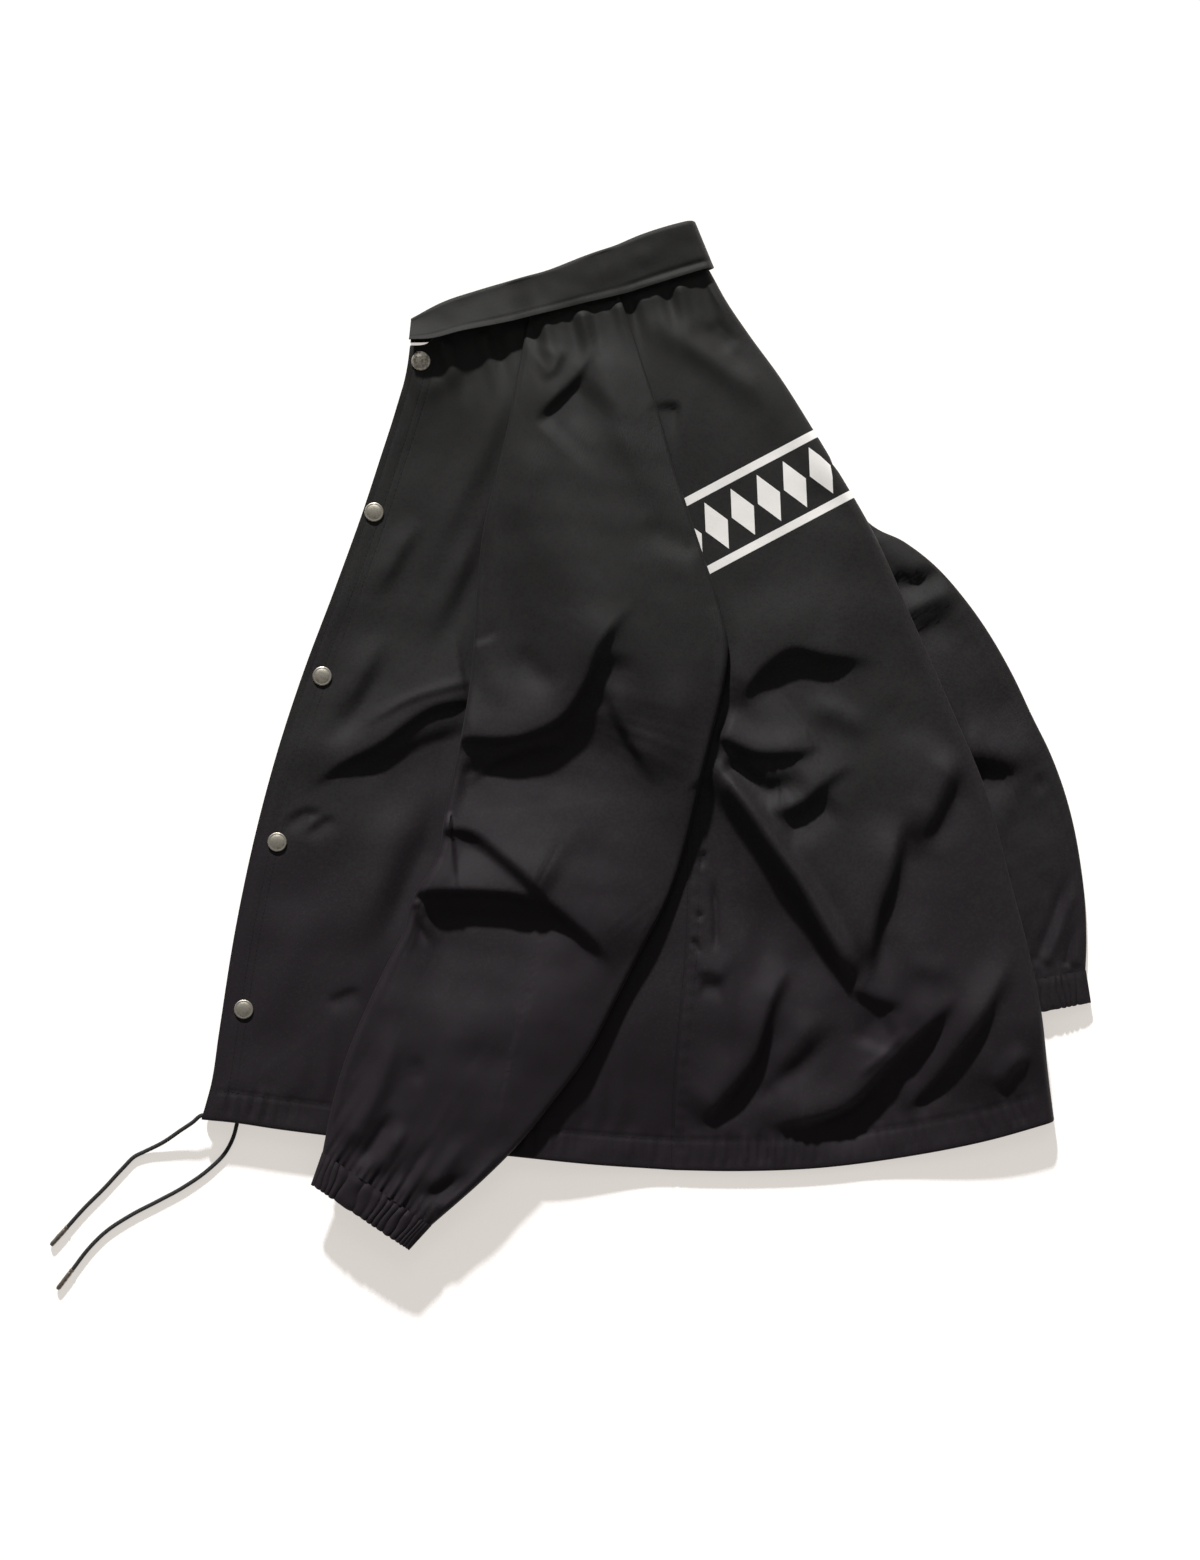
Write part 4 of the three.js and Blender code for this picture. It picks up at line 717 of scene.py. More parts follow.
def wall(name, grid, thickness, closed=False, band=None):
    """Cloth: a grid of middle points moved half a thickness out to both sides along its normals,
    joined along its edges. Its UV map is the distance across and down along the cloth."""
    rows, columns = grid.shape[:2]
    out = grid_normals(grid, closed) * thickness / 2
    points = np.concatenate([(grid + out).reshape(-1, 3), (grid - out).reshape(-1, 3)])
    index = np.arange(rows * columns).reshape(rows, columns)
    if closed:
        index = np.concatenate([index, index[:, :1]], axis=1)
    other = index + rows * columns
    face = np.stack([index[:-1, :-1], index[:-1, 1:], index[1:, 1:], index[1:, :-1]], -1)
    parts = [face.reshape(-1, 4), (face[..., ::-1] + rows * columns).reshape(-1, 4)]
    for a, b in ((index[0], other[0]), (other[-1], index[-1])):
        parts.append(np.stack([a[:-1], b[:-1], b[1:], a[1:]], -1))
    if not closed:
        for a, b in ((other[:, 0], index[:, 0]), (index[:, -1], other[:, -1])):
            parts.append(np.stack([a[:-1], b[:-1], b[1:], a[1:]], -1))
    quads = np.concatenate(parts)
    if outward_sign(points, quads) < 0:
        quads = quads[:, ::-1]
    across = np.zeros((rows, columns))
    across[:, 1:] = np.cumsum(length_of(np.diff(grid, axis=1)), axis=1)
    down = np.zeros((rows, columns))
    down[1:] = np.cumsum(length_of(np.diff(grid, axis=0)), axis=0)
    uv = np.stack([across.ravel(), down.ravel()], -1)
    extra = {"outside": np.repeat([0.0, 1.0], rows * columns)}
    if band is not None:
        extra["band_across"] = np.tile(band[..., 0].ravel() * MM, 2)
        extra["band_along"] = np.tile(band[..., 1].ravel() * MM, 2)
    piece = mesh_piece(name, points, quads, uv=np.tile(uv, (2, 1)), **extra)
    print(f"{name}: {2 * len(quads)} triangles, about {cloth_area(grid):.2f} square metres")
    return piece


def cloth_area(grid):
    """The area of a grid of points in square metres."""
    a = grid[:-1, :-1]
    return length_of(np.cross(grid[:-1, 1:] - a, grid[1:, :-1] - a)).sum() * MM * MM


# %% [markdown]
# ## Body
# Three cloths make the body: the near front, the far front under it, and the back, which is one
# cloth folded along its centre. Each is one patch between four curves, its hem turned up inside
# to make the casing for the cord. A row of shares runs down the panel, then round the hem, then
# up the casing, so the turned hem belongs to the same cloth.

# %% Body cloths
HEM_TURN = 22
CASING_UPPER = 3.0
CASING_LOWER = 2.4
ARMPIT_SHARE = 0.35


def seam_edge(raglan, side):
    """A body panel's seam edge: the raglan seam down to the armpit, then the side seam."""
    upper, lower = curve_through(raglan), curve_through(side)

    def place(share):
        share = np.asarray(share, float)
        high = upper(np.minimum(share / ARMPIT_SHARE, 1))
        low = lower(np.maximum((share - ARMPIT_SHARE) / (1 - ARMPIT_SHARE), 0))
        return np.where((share < ARMPIT_SHARE)[..., None], high, low)

    return place


def raglan_line(share_column):
    """The points where a raglan seam crosses the near sleeve's first nine lines."""
    rows = LEFT_SLEEVE[:9]
    return mix(rows[:, 0:2], rows[:, 2:4], rows[:, share_column, None])


def panel_rows(count):
    """Shares down the panel, the turn round the hem, and the distance up the casing, row by row."""
    upper = np.linspace(0, ARMPIT_SHARE, int(count * 0.36), endpoint=False)
    lower = np.linspace(ARMPIT_SHARE, 1, int(count * 0.64))
    v = np.concatenate([upper, lower])
    turn = np.linspace(0, 1, 8)[1:] * math.pi
    up = np.linspace(0, HEM_TURN, 7)[1:]
    v = np.concatenate([v, np.ones(len(turn) + len(up))])
    hem = np.concatenate([np.zeros(len(v) - len(turn) - len(up)), turn, np.full(len(up), math.pi)])
    climb = np.concatenate([np.zeros(len(v) - len(up)), up])
    return v[:, None], hem[:, None], climb[:, None]


def body_cloth(name, patch, columns, high, low=None, reach=0.0, end=0.0, rows=262, band=None):
    """A body cloth. A column's turn is 0 on the upper side and pi on the lower side; the fold
    between them is half a circle past the end of the patch. The hem is half a circle in the other
    direction, with the room of the casing as its width."""
    share, turn, offset = (np.asarray(c, float)[None, :] for c in zip(*columns))
    v, hem, climb = panel_rows(rows)
    length = length_of(patch(0.5, 1.0) - patch(0.5, 0.0))
    v = v - climb / length
    width = length_of(patch(np.ones_like(v), v) - patch(np.zeros_like(v), v))
    first = -0.1 / width
    last = 1 - (reach + end) / width
    outward = unit(patch(np.ones_like(v), v) - patch(np.full_like(v, 0.97), v))
    u = mix(first, last, share) - offset / width
    v = v + np.zeros_like(u)
    point = patch(u, v)
    down = unit(patch(u, np.ones_like(u)) - patch(u, np.full_like(u, 0.97)))
    x, y = point[..., 0], point[..., 1]
    casing = mix(CASING_UPPER, CASING_LOWER, turn / math.pi if low else 0 * turn)
    room = np.where(offset > 0, CASING_LOWER, casing) * (1 - 0.66 * (climb / HEM_TURN) ** 2)
    deep = room * (1 - np.cos(hem)) / 2
    push = room / 2 * np.sin(hem)
    top = high(x, y)
    if low:
        bottom = low(x, y)
        z = (top + bottom) / 2 + ((top - bottom) / 2 - deep) * np.cos(turn)
    else:
        z = top - deep
    side = (reach - deep) * np.sin(turn)
    flat = point + outward * side[..., None] + down * push[..., None]
    grid = np.concatenate([flat, z[..., None]], -1)
    return wall(name, grid, SKIN, band=band(grid, turn + 0 * u) if band else None)


front_patch = patch_between(curve_through(NECK_FRONT), curve_through(HEM_FRONT[::-1]),
                            seam_edge(raglan_line(4), SIDE_SEAM), curve_through(FRONT_EDGE))
back_patch = patch_between(curve_through(NECK_BACK), curve_through(HEM_BACK),
                           seam_edge(raglan_line(5), SIDE_SEAM), curve_through(CENTRE_BACK))
half_turn = np.linspace(0, math.pi, 11)[1:-1]



def beside(line, x, y):
    """The distance of points to a smooth line, and how far along it their nearest place is."""
    line = curve_through(line)(np.linspace(0, 1, 49))
    nearest = np.full(np.shape(x), 1e9)
    place = np.zeros(np.shape(x))
    gone = 0.0
    for p, q in zip(line[:-1], line[1:]):
        dx, dy = q - p
        size = math.hypot(dx, dy)
        s = np.clip(((x - p[0]) * dx + (y - p[1]) * dy) / size**2, 0, 1)
        away = np.hypot(x - p[0] - s * dx, y - p[1] - s * dy)
        closer = away < nearest
        nearest = np.where(closer, away, nearest)
        place = np.where(closer, gone + s * size, place)
        gone += size
    return nearest, place


def groove(distance, at, width, depth):
    """A narrow dip where stitches pull the cloth down."""
    return -depth * np.exp(-(((distance - at) / width) ** 2))


def hem_details(line, x, y, seed):
    """The casing: a dip at its stitches, and short uneven puckers across it, which are sines of
    the place along the hem in two sizes, stronger in some stretches."""
    away, along = beside(line, x, y)
    strength = 0.55 + 0.45 * np.sin(along / 23 + seed) * np.sin(along / 61 + 2 * seed)
    bend = 2.2 * np.sin(along / 17 + seed)
    pucker = 0.9 * np.sin(along * 2 * math.pi / 8.4 + bend) + 0.5 * np.sin(along * 2 * math.pi / 19 - bend)
    place = ease(1, 9, away) * np.exp(-((np.maximum(away - 16, 0) / 9) ** 2))
    casing = 0.3 * np.exp(-(((away - 11) / 9) ** 2))
    drawn = np.sin(along * 2 * math.pi / 27 + bend) * ease(HEM_TURN, 34, away) * np.exp(-away / 40)
    return groove(away, HEM_TURN, 1.3, 0.6) + (pucker * strength) * place + casing + 1.3 * drawn


SNAPS = [(-175.6, 291.3), (-212, 173.6), (-252.5, 45.6), (-287.6, -83.9), (-313.8, -214.5)]


def front_details(x, y):
    """Casing, edge stitching, facing stitching and the dents that the snaps press in."""
    away, _ = beside(FRONT_EDGE, x, y)
    rise = hem_details(HEM_FRONT, x, y, 0.4) * ease(2, 12, away)
    rise += groove(beside(SIDE_SEAM, x, y)[0], 0, 1.3, 0.45)
    rise += groove(away, 4.5, 0.9, 0.25) + groove(away, 14, 1, 0.14) + groove(away, 19.5, 1, 0.14)
    rise += 0.2 * np.exp(-(((away - 9) / 5) ** 2))
    for sx, sy in SNAPS:
        rise -= 0.35 * np.exp(-((np.hypot(x - sx, y - sy) / 13) ** 2))
    return rise * ease(0, 12, -inside_left_sleeve(x, y) + 8)


def back_details(x, y):
    """Casing and the stitching along the side seam, with small puckers."""
    away, along = beside(SIDE_SEAM, x, y)
    rise = hem_details(HEM_BACK, x, y, 1.7) * ease(2, 30, 319 - x)
    pucker = np.sin(along * 2 * math.pi / 12 + 2 * np.sin(along / 19)) * np.exp(-(((away - 4) / 5) ** 2))
    rise += groove(away, 6.5, 0.9, 0.2) + groove(away, 0, 1.3, 0.45) + 0.14 * pucker
    return rise * ease(0, 12, -inside_left_sleeve(x, y) + 8)


def band_place(grid, turn):
    """The place on the back for its printed band: the distance past the centre back fold, carried
    on round the fold and over the far half, and the distance along the fold."""
    middle, axis = np.array([146.5, 211.0]), math.radians(28)
    flat = grid[..., :2] - middle
    across = flat[..., 0] * math.cos(axis) + flat[..., 1] * math.sin(axis)
    along = -flat[..., 0] * math.sin(axis) + flat[..., 1] * math.cos(axis)
    edge = across[:, [np.flatnonzero(turn[0] == 0).max()]]
    bend = edge + 9 * turn
    far = edge + 9 * math.pi + (edge - across)
    across = np.where(turn == 0, across, np.where(turn < math.pi, bend, far))
    return np.stack([across, along], -1)


# %% Make the body
left_front = body_cloth(
    "left_front_cloth", front_patch, [(s, 0, 0) for s in np.linspace(0, 1, 128)],
    lambda x, y: upper_panel(x, y) + front_details(x, y))
right_front = body_cloth(
    "right_front_cloth", front_patch,
    [(s, math.pi, 0) for s in np.linspace(0, 1, 30)] + [(1, t, 0) for t in half_turn[::-1]]
    + [(1, 0, o) for o in np.linspace(0, 17, 7)],
    folded_overlap, lambda x, y: lower_panel(x, y) + hidden_relief(x, y), reach=4.5, end=1.5)
back = body_cloth(
    "back_cloth", back_patch,
    [(s, 0, 0) for s in np.linspace(0, 1, 148)] + [(1, t, 0) for t in half_turn]
    + [(s, math.pi, 0) for s in np.linspace(1, 0, 20)],
    lambda x, y: upper_panel(x, y) + back_details(x, y),
    lambda x, y: lower_panel(x, y) + hidden_relief(x, y), reach=6.5, band=band_place)

# %% [markdown]
# ## Sleeves
# A raglan sleeve is one cloth that runs up to the neck, with a seam under the arm. Laid flat it
# has one whole layer, a rounded fold at each side, and two lips that end at the seams. The near
# sleeve shows its whole layer on top, and the far one has it underneath.

# %% Sleeves
EDGE_SHARE = 0.62


def gathers_near(line_start, line_end, x, y, seed):
    """Little pleats that run up from a cuff: sines of the place along the cuff seam in three
    sizes, the small ones fading soonest."""
    p, q = np.asarray(line_start, float), np.asarray(line_end, float)
    size = np.hypot(*(q - p))
    dx, dy = (q - p) / size
    along = (x - p[0]) * dx + (y - p[1]) * dy
    away = np.abs((x - p[0]) * dy - (y - p[1]) * dx)
    bend = 1.4 * np.sin(along / 11 + seed)
    small = 0.5 * np.sin(along * 2 * math.pi / 5.6 + bend) * np.exp(-away / 10)
    middle = 0.8 * np.sin(along * 2 * math.pi / 15 + 2 * bend + seed) * np.exp(-away / 24)
    large = 0.9 * np.sin(along * 2 * math.pi / 31 + seed) * np.exp(-away / 48)
    return small + middle + large


def sleeve_cloth(name, rows, count, across, lip, base, lips_on_top, relief):
    """A sleeve laid flat. across is the number of columns on the whole layer and lip on each lip.
    The whole layer arches a little, 4 s (1 - s) of the extra height at share s of its width."""
    knots = np.arange(len(rows))
    at = np.linspace(0, len(rows) - 1, count + 1)
    lx, ly, rx, ry, front, rear, thick = (smooth(knots, rows[:, k])(at)[:, None] for k in range(7))
    width = np.hypot(rx - lx, ry - ly)
    edge = thick * EDGE_SHARE / 2 / width
    gap = 0.2 / width

    def spread(start, end, steps):
        return start + (end - start) * np.linspace(0, 1, steps)[None, :]

    def layer(share, whole):
        x, y = mix(lx, rx, share), mix(ly, ry, share)
        z = base(x, y)
        if whole != lips_on_top:
            arch = EDGE_SHARE + (1 - EDGE_SHARE) * 4 * share * (1 - share)
            z = z + thick * arch + relief(x, y)
        return np.stack([x, y, z], -1)

    def side(left):
        turn = np.linspace(0, 1, 9)[None, 1:-1]
        share = edge if left else 1 - edge
        reach = edge * (1 - np.sin(turn * math.pi))
        reach = reach if left else 1 - reach
        lips = layer(share, False)[..., 2]
        whole = layer(share, True)[..., 2]
        z = mix(lips, whole, (1 - np.cos(turn * math.pi)) / 2)
        return np.stack([mix(lx, rx, reach), mix(ly, ry, reach), z], -1)

    grid = np.concatenate([
        layer(spread(front - gap, edge, lip), False), side(True),
        layer(spread(edge, 1 - edge, across), True), side(False)[:, ::-1],
        layer(spread(1 - edge, rear + gap, lip), False)], axis=1)
    return wall(name, grid, SKIN), grid


def left_sleeve_top(x, y):
    """Folds and cuff pleats of the near sleeve."""
    pleats = gathers_near(LEFT_SLEEVE[-1][:2], LEFT_SLEEVE[-1][2:4], x, y, 0.7)
    return left_sleeve_relief(x, y) + pleats * ease(0, 8, inside_left_sleeve(x, y))


def right_sleeve_top(x, y):
    """Folds and cuff pleats of the far sleeve."""
    pleats = gathers_near(RIGHT_SLEEVE[-1][:2], RIGHT_SLEEVE[-1][2:4], x, y, 2.1)
    return right_sleeve_relief(x, y) + 0.7 * pleats * ease(0, 8, inside_right_sleeve(x, y))


left_sleeve, _ = sleeve_cloth("left_sleeve_cloth", LEFT_SLEEVE, 340, 110, 9, upper_sleeve_base,
                              False, left_sleeve_top)
right_sleeve, _ = sleeve_cloth("right_sleeve_cloth", RIGHT_SLEEVE, 200, 36, 22, lowest, True,
                               right_sleeve_top)

# %% [markdown]
# ## Cuffs
# Each cuff is a short band with elastic inside. The elastic draws the cloth into gathers of uneven
# width. A flat tube whose wall ripples round it shows them, with a dip near the seam and at the
# end, where the elastic is sewn in.

# %% Cuffs
def cuff_cloth(name, start, end, base, start_height, end_height, seed):
    """A flat tube round the sleeve's end. The angle round it gives the place across and the rise,
    and the gathers are the size of a sine, whose phase wanders, so their valleys are sharp."""
    rows, columns = 15, 480
    share = np.linspace(0, 1, rows)[:, None]
    angle = np.linspace(0, 2 * math.pi, columns, endpoint=False)[None, :]
    lx, ly, rx, ry = (mix(a, b, share) for a, b in zip(start, end))
    length = math.hypot(end[0] - start[0], end[1] - start[1])
    u = 0.5 - 0.5 * np.sign(np.cos(angle)) * np.abs(np.cos(angle)) ** 0.9
    x, y = mix(lx, rx, u), mix(ly, ry, u)
    wander = 0.9 * np.sin(3 * angle + seed) + 0.6 * np.sin(7 * angle + 2 * seed)
    fan = 0.4 * np.sin(share * 5 + 9 * angle)
    pleats = 2 * np.abs(np.sin(20 * angle + 2.2 * wander + fan)) ** 0.7 - 1
    uneven = 0.7 + 0.3 * np.sin(5 * angle + seed) * np.sin(11 * angle)
    belly = 1 - 0.16 * np.exp(-((share * length / 3) ** 2)) - 0.12 * np.exp(-(((1 - share) * length / 2.5) ** 2))
    height = mix(start_height, end_height, share) * belly
    ripple = 1 + 0.17 * pleats * uneven
    rise = height / 2 * ripple * np.sign(np.sin(angle)) * np.abs(np.sin(angle)) ** 0.75
    z = base(x, y) + mix(start_height, end_height, share) / 2 + rise
    down = np.array([end[0] + end[2] - start[0] - start[2], end[1] + end[3] - start[1] - start[3]])
    down = down / np.hypot(*down)
    scallop = 0.7 * pleats * uneven * share**3
    grid = np.stack([x + down[0] * scallop, y + down[1] * scallop, z], -1)
    return wall(name, grid, 1.2, closed=True)


left_cuff = cuff_cloth("left_cuff_cloth", tuple(LEFT_SLEEVE[-1][:4]), LEFT_CUFF_END,
                       upper_sleeve_base, 10, 9.5, 0.3)
right_cuff = cuff_cloth("right_cuff_cloth", tuple(RIGHT_SLEEVE[-1][:4]), RIGHT_CUFF_END,
                        lambda x, y: lowest(x, y) + 0.8, 8, 7.5, 1.9)

# %% [markdown]
# ## Collar
# The shirt collar is folded down along its roll, the upper edge here, and folded again at the
# centre back, so its far half lies under everything. One section is carried along it: the fall
# outside, the roll, and the stand inside, which is sewn to the neck.

# %% Collar
COLLAR_FOLD = 7
collar_free = curve_through(COLLAR_FREE_EDGE)
collar_roll = curve_through(COLLAR_ROLL_EDGE)


def collar_relief(share, across, x, y):
    """The fall's own waves: the dip of the edge stitching, a lip that opens towards the centre
    back, and slow unrest."""
    depth = across * 44
    lip = ease(0.66, 0.9, share)
    rise = -(0.45 + 0.9 * lip) * np.exp(-(((depth - 6.5) / (1.3 + lip)) ** 2))
    rise += (0.3 + 0.6 * lip) * np.exp(-(((depth - 1.5) / 3.4) ** 2))
    rise += 0.5 * ripples(x, y, 60, 21) * ease(0, 0.25, across) + 0.15 * ripples(x, y, 20, 22)
    rise += 0.45 * np.exp(-(((depth - 27) / 11) ** 2)) * ease(0.1, 0.5, share) * (1 - 0.6 * share)
    return rise


def collar_point(share, turn, across, roll):
    """A place on the collar. share runs from the front to the centre back, turn round the fold
    there, across from the free edge to the roll, and roll from the fall over to the stand."""
    share, turn, across, roll = np.broadcast_arrays(share, turn, across, roll)
    span = length_of(collar_roll(1.0) - collar_roll(0.0))
    outward = unit(collar_roll(1.0) - collar_roll(0.95))
    at = share * (1 - COLLAR_FOLD / span)
    low, top = collar_free(at), collar_roll(at)
    up = unit(top - low)
    angle = roll * math.pi
    room = mix(3.8, 2.4, turn / math.pi)
    flat = mix(low, top, across[..., None]) + up * (room / 2 * np.sin(angle))[..., None]
    x, y = flat[..., 0], flat[..., 1]
    deep_upper = 3.8 * (1 + np.cos(angle)) / 2
    deep_lower = 2.4 * (1 - np.cos(angle)) / 2
    on_fall = roll == 0
    flare = np.where(on_fall, mix(8, 0.5, ease(0.2, 0.7, share)) * (1 - across) ** 1.3, 0)
    stand = 18 + 2.1 + 6.2 * ease(-14, 8, inside_left_sleeve(low[..., 0], low[..., 1]))
    upper = stand + deep_upper + flare + np.where(on_fall, collar_relief(share, across, x, y), 0)
    lower = CLOTH / 2 + deep_lower
    inset = room * (1 - np.cos(angle)) / 2
    side = (COLLAR_FOLD - inset) * np.sin(turn)
    z = (upper + lower) / 2 + (upper - lower) / 2 * np.cos(turn)
    return np.concatenate([flat + outward * side[..., None], z[..., None]], -1)


along = ([(s, 0) for s in np.linspace(0, 1, 150)] + [(1, t) for t in np.linspace(0, math.pi, 12)[1:-1]]
         + [(s, math.pi) for s in np.linspace(1, 0, 60)])
section = ([(s, 0) for s in np.linspace(0, 1, 26)] + [(1, r) for r in np.linspace(0, 1, 9)[1:-1]]
           + [(s, 1) for s in np.linspace(1, 0.16, 10)])
collar_share, collar_turn = (np.array(c, float)[:, None] for c in zip(*along))
collar_across, collar_bend = (np.array(c, float)[None, :] for c in zip(*section))
collar = wall("collar_cloth", collar_point(collar_share, collar_turn, collar_across, collar_bend), 1.0)

# %% [markdown]
# ## Snap caps
# The caps are turned metal like the cord's tips: a low dome with a rolled rim, 15 mm across, set
# square on the cloth.

# %% Caps
def panel_normal(x, y):
    """The direction that the near panel faces, from its heights 8 mm to each side."""
    x, y = np.atleast_1d(x), np.atleast_1d(y)
    slope_x = (upper_panel(x + 8, y, False) - upper_panel(x - 8, y, False)) / 16
    slope_y = (upper_panel(x, y + 8, False) - upper_panel(x, y - 8, False)) / 16
    return unit(np.stack([-slope_x, -slope_y, np.ones_like(x)], -1))[0]


CAP_PROFILE = [(0, -0.3), (5.5, -0.3), (6.6, -0.1), (7.25, 0.12), (7.55, 0.55), (7.5, 0.95), (7.2, 1.25),
               (6.75, 1.4), (6.35, 1.36), (6.05, 1.3), (5.7, 1.42), (4.9, 1.66), (3.7, 1.88),
               (2.2, 2.02), (0.8, 2.08), (0, 2.1)]
caps = []
for number, (sx, sy) in enumerate(SNAPS, 1):
    normal = panel_normal(sx, sy)
    level = float(upper_panel(np.array([sx]), np.array([sy]))[0])
    foot = np.array([sx, sy, level]) + normal * 0.75
    caps.append(turned(f"cap_{number}", CAP_PROFILE, 48, foot, normal))
print("snap caps:", len(caps), "of 15.1 mm")

# %% [markdown]
# ## Stitches
# Topstitching in thread of the cloth's own colour runs along the front edge, the facing, the
# casing, the side seam and the collar. Each stitch is a tiny lens-ended rod, so thousands of them
# stay light, and all are one mesh. A stitch is set on the cloth at its place, turned along its row
# and square to the cloth.

# %% Stitch maker
def stitch_rods(centres, along, up, length=2.6, radius=0.28):
    """One rod of six sides and four rings per stitch: its ring radii are a half sine, so it is
    full in the middle and small at its ends, which are closed."""
    along, up = unit(along), unit(up)
    side = np.cross(along, up)
    place = np.array([-0.5, -0.3, 0.3, 0.5])
    swell = np.array([0.45, 1, 1, 0.45])
    angle = np.arange(6) * math.pi / 3
    u = (place * length)[:, None] + 0 * angle
    v = swell[:, None] * np.cos(angle) * radius
    w = swell[:, None] * np.sin(angle) * radius * 0.8
    points = (centres[:, None, None] + u[..., None] * along[:, None, None]
              + v[..., None] * side[:, None, None] + w[..., None] * up[:, None, None])
    index = np.arange(24).reshape(4, 6)
    index = np.concatenate([index, index[:, :1]], axis=1)
    quads = np.stack([index[:-1, :-1], index[1:, :-1], index[1:, 1:], index[:-1, 1:]], -1).reshape(-1, 4)
    caps_of = np.array([(0, 1, 2, 3), (0, 3, 4, 5), (23, 22, 21, 20), (23, 20, 19, 18)])
    one = np.concatenate([quads, caps_of])
    every = one[None] + 24 * np.arange(len(centres))[:, None, None]
    return points.reshape(-1, 3), every.reshape(-1, 4)


def on_panels(line, details, lift=SKIN / 2 - 0.06, step=3.3):
    """Stitch places along a flat line, lifted onto the near panels, with the cloth's direction."""
    line = np.asarray(line, float)
    gone = np.concatenate([[0], np.cumsum(length_of(np.diff(line, axis=0)))])
    at = np.arange(1.5, gone[-1] - 1, step)
    x, y = np.interp(at, gone, line[:, 0]), np.interp(at, gone, line[:, 1])

    def height(a, b):
        return upper_panel(a, b) + details(a, b)

    slope_x = (height(x + 0.8, y) - height(x - 0.8, y)) / 1.6
    slope_y = (height(x, y + 0.8) - height(x, y - 0.8)) / 1.6
    up = unit(np.stack([-slope_x, -slope_y, np.ones_like(x)], -1))
    centres = np.stack([x, y, height(x, y)], -1) + up * lift
    shown = inside_left_sleeve(x, y) < -1
    ahead = np.gradient(centres, axis=0)
    return centres[shown], ahead[shown], up[shown]


def beside_line(line, away, count=160, start=0.0, end=1.0):
    """A line at a distance to one side of a smooth line: the right side, walking along it."""
    points = curve_through(line)(np.linspace(start, end, count))
    ahead = unit(np.gradient(points, axis=0))
    return points + np.stack([ahead[:, 1], -ahead[:, 0]], -1) * away


# %% Sew
rows_of_stitches = [
    on_panels(beside_line(FRONT_EDGE, -4.5, start=0.004, end=0.996), front_details),
    on_panels(beside_line(FRONT_EDGE, -14, start=0.01, end=0.965), front_details),
    on_panels(beside_line(FRONT_EDGE, -19.5, start=0.012, end=0.965), front_details),
    on_panels(beside_line(HEM_FRONT, -HEM_TURN, start=0.012, end=1.0), front_details),
    on_panels(beside_line(HEM_BACK, -HEM_TURN, start=0.0, end=0.985), back_details),
    on_panels(beside_line(SIDE_SEAM, 2.6, start=0.02), front_details),
    on_panels(beside_line(SIDE_SEAM, -6.5, start=0.02), back_details),
]

# collar rows follow the collar's own section, 6.5 mm in from the free edge
collar_line = collar_point(np.linspace(0.012, 0.995, 900), 0.0, 6.5 / 44, 0)
collar_ahead = unit(np.gradient(collar_line, axis=0))
collar_side = collar_point(np.linspace(0.012, 0.995, 900), 0.0, 8.5 / 44, 0) - collar_line
collar_up = unit(np.cross(collar_ahead, collar_side))
collar_gone = np.concatenate([[0], np.cumsum(length_of(np.diff(collar_line, axis=0)))])
pick = np.searchsorted(collar_gone, np.arange(2, collar_gone[-1] - 1, 3.3))
collar_up = collar_up * np.sign(collar_up[:, 2:3])
rows_of_stitches.append((collar_line[pick] + collar_up[pick] * 0.5, collar_ahead[pick], collar_up[pick]))

centres, aheads, ups = (np.concatenate(part) for part in zip(*rows_of_stitches))
points, quads = stitch_rods(centres, aheads, ups)
stitching = mesh_piece("stitching", points, quads if outward_sign(points, quads) > 0 else quads[:, ::-1],
                       smooth_to=75)
print("stitches:", len(centres), "and", 2 * len(quads), "triangles")

# %% [markdown]
# ## Finishes
# The cloth is a black nylon taffeta with a soft satin shine, the print is a matt off-white ink, the
# cord is a black braid, and the snaps and tips are tumbled metal. Shader maths is written as plain
# expressions: a small class wraps a socket, and each operator on it adds one Math node.

# %% Shader maths
class Value:
    """A socket that arithmetic works on."""

    def __init__(self, tree, socket):
        self.tree, self.socket = tree, socket

    def math(self, operation, *others):
        node = self.tree.nodes.new("ShaderNodeMath")
        node.operation = operation
        for slot, value in zip(node.inputs, (self,) + others):
            plug(self.tree, slot, value)
        return Value(self.tree, node.outputs[0])

    def flipped(self, operation, other):
        node = self.tree.nodes.new("ShaderNodeMath")
        node.operation = operation
        plug(self.tree, node.inputs[0], other)
        plug(self.tree, node.inputs[1], self)
        return Value(self.tree, node.outputs[0])

    def __add__(self, other):
        return self.math("ADD", other)

    def __sub__(self, other):
        return self.math("SUBTRACT", other)

    def __rsub__(self, other):
        return self.flipped("SUBTRACT", other)

    def __mul__(self, other):
        return self.math("MULTIPLY", other)

    def __truediv__(self, other):
        return self.math("DIVIDE", other)

    def __rtruediv__(self, other):
        return self.flipped("DIVIDE", other)

    def __pow__(self, other):
        return self.math("POWER", other)

    __radd__ = __add__
    __rmul__ = __mul__

    def sine(self):
        return self.math("SINE")

    def size(self):
        return self.math("ABSOLUTE")

    def between(self, start, end):
        """Goes from 0 to 1 as the value goes from start to end, flat at both ends."""
        node = self.tree.nodes.new("ShaderNodeMapRange")
        node.interpolation_type = "SMOOTHSTEP"
        plug(self.tree, node.inputs["Value"], self)
        plug(self.tree, node.inputs["From Min"], start)
        plug(self.tree, node.inputs["From Max"], end)
        return Value(self.tree, node.outputs["Result"])


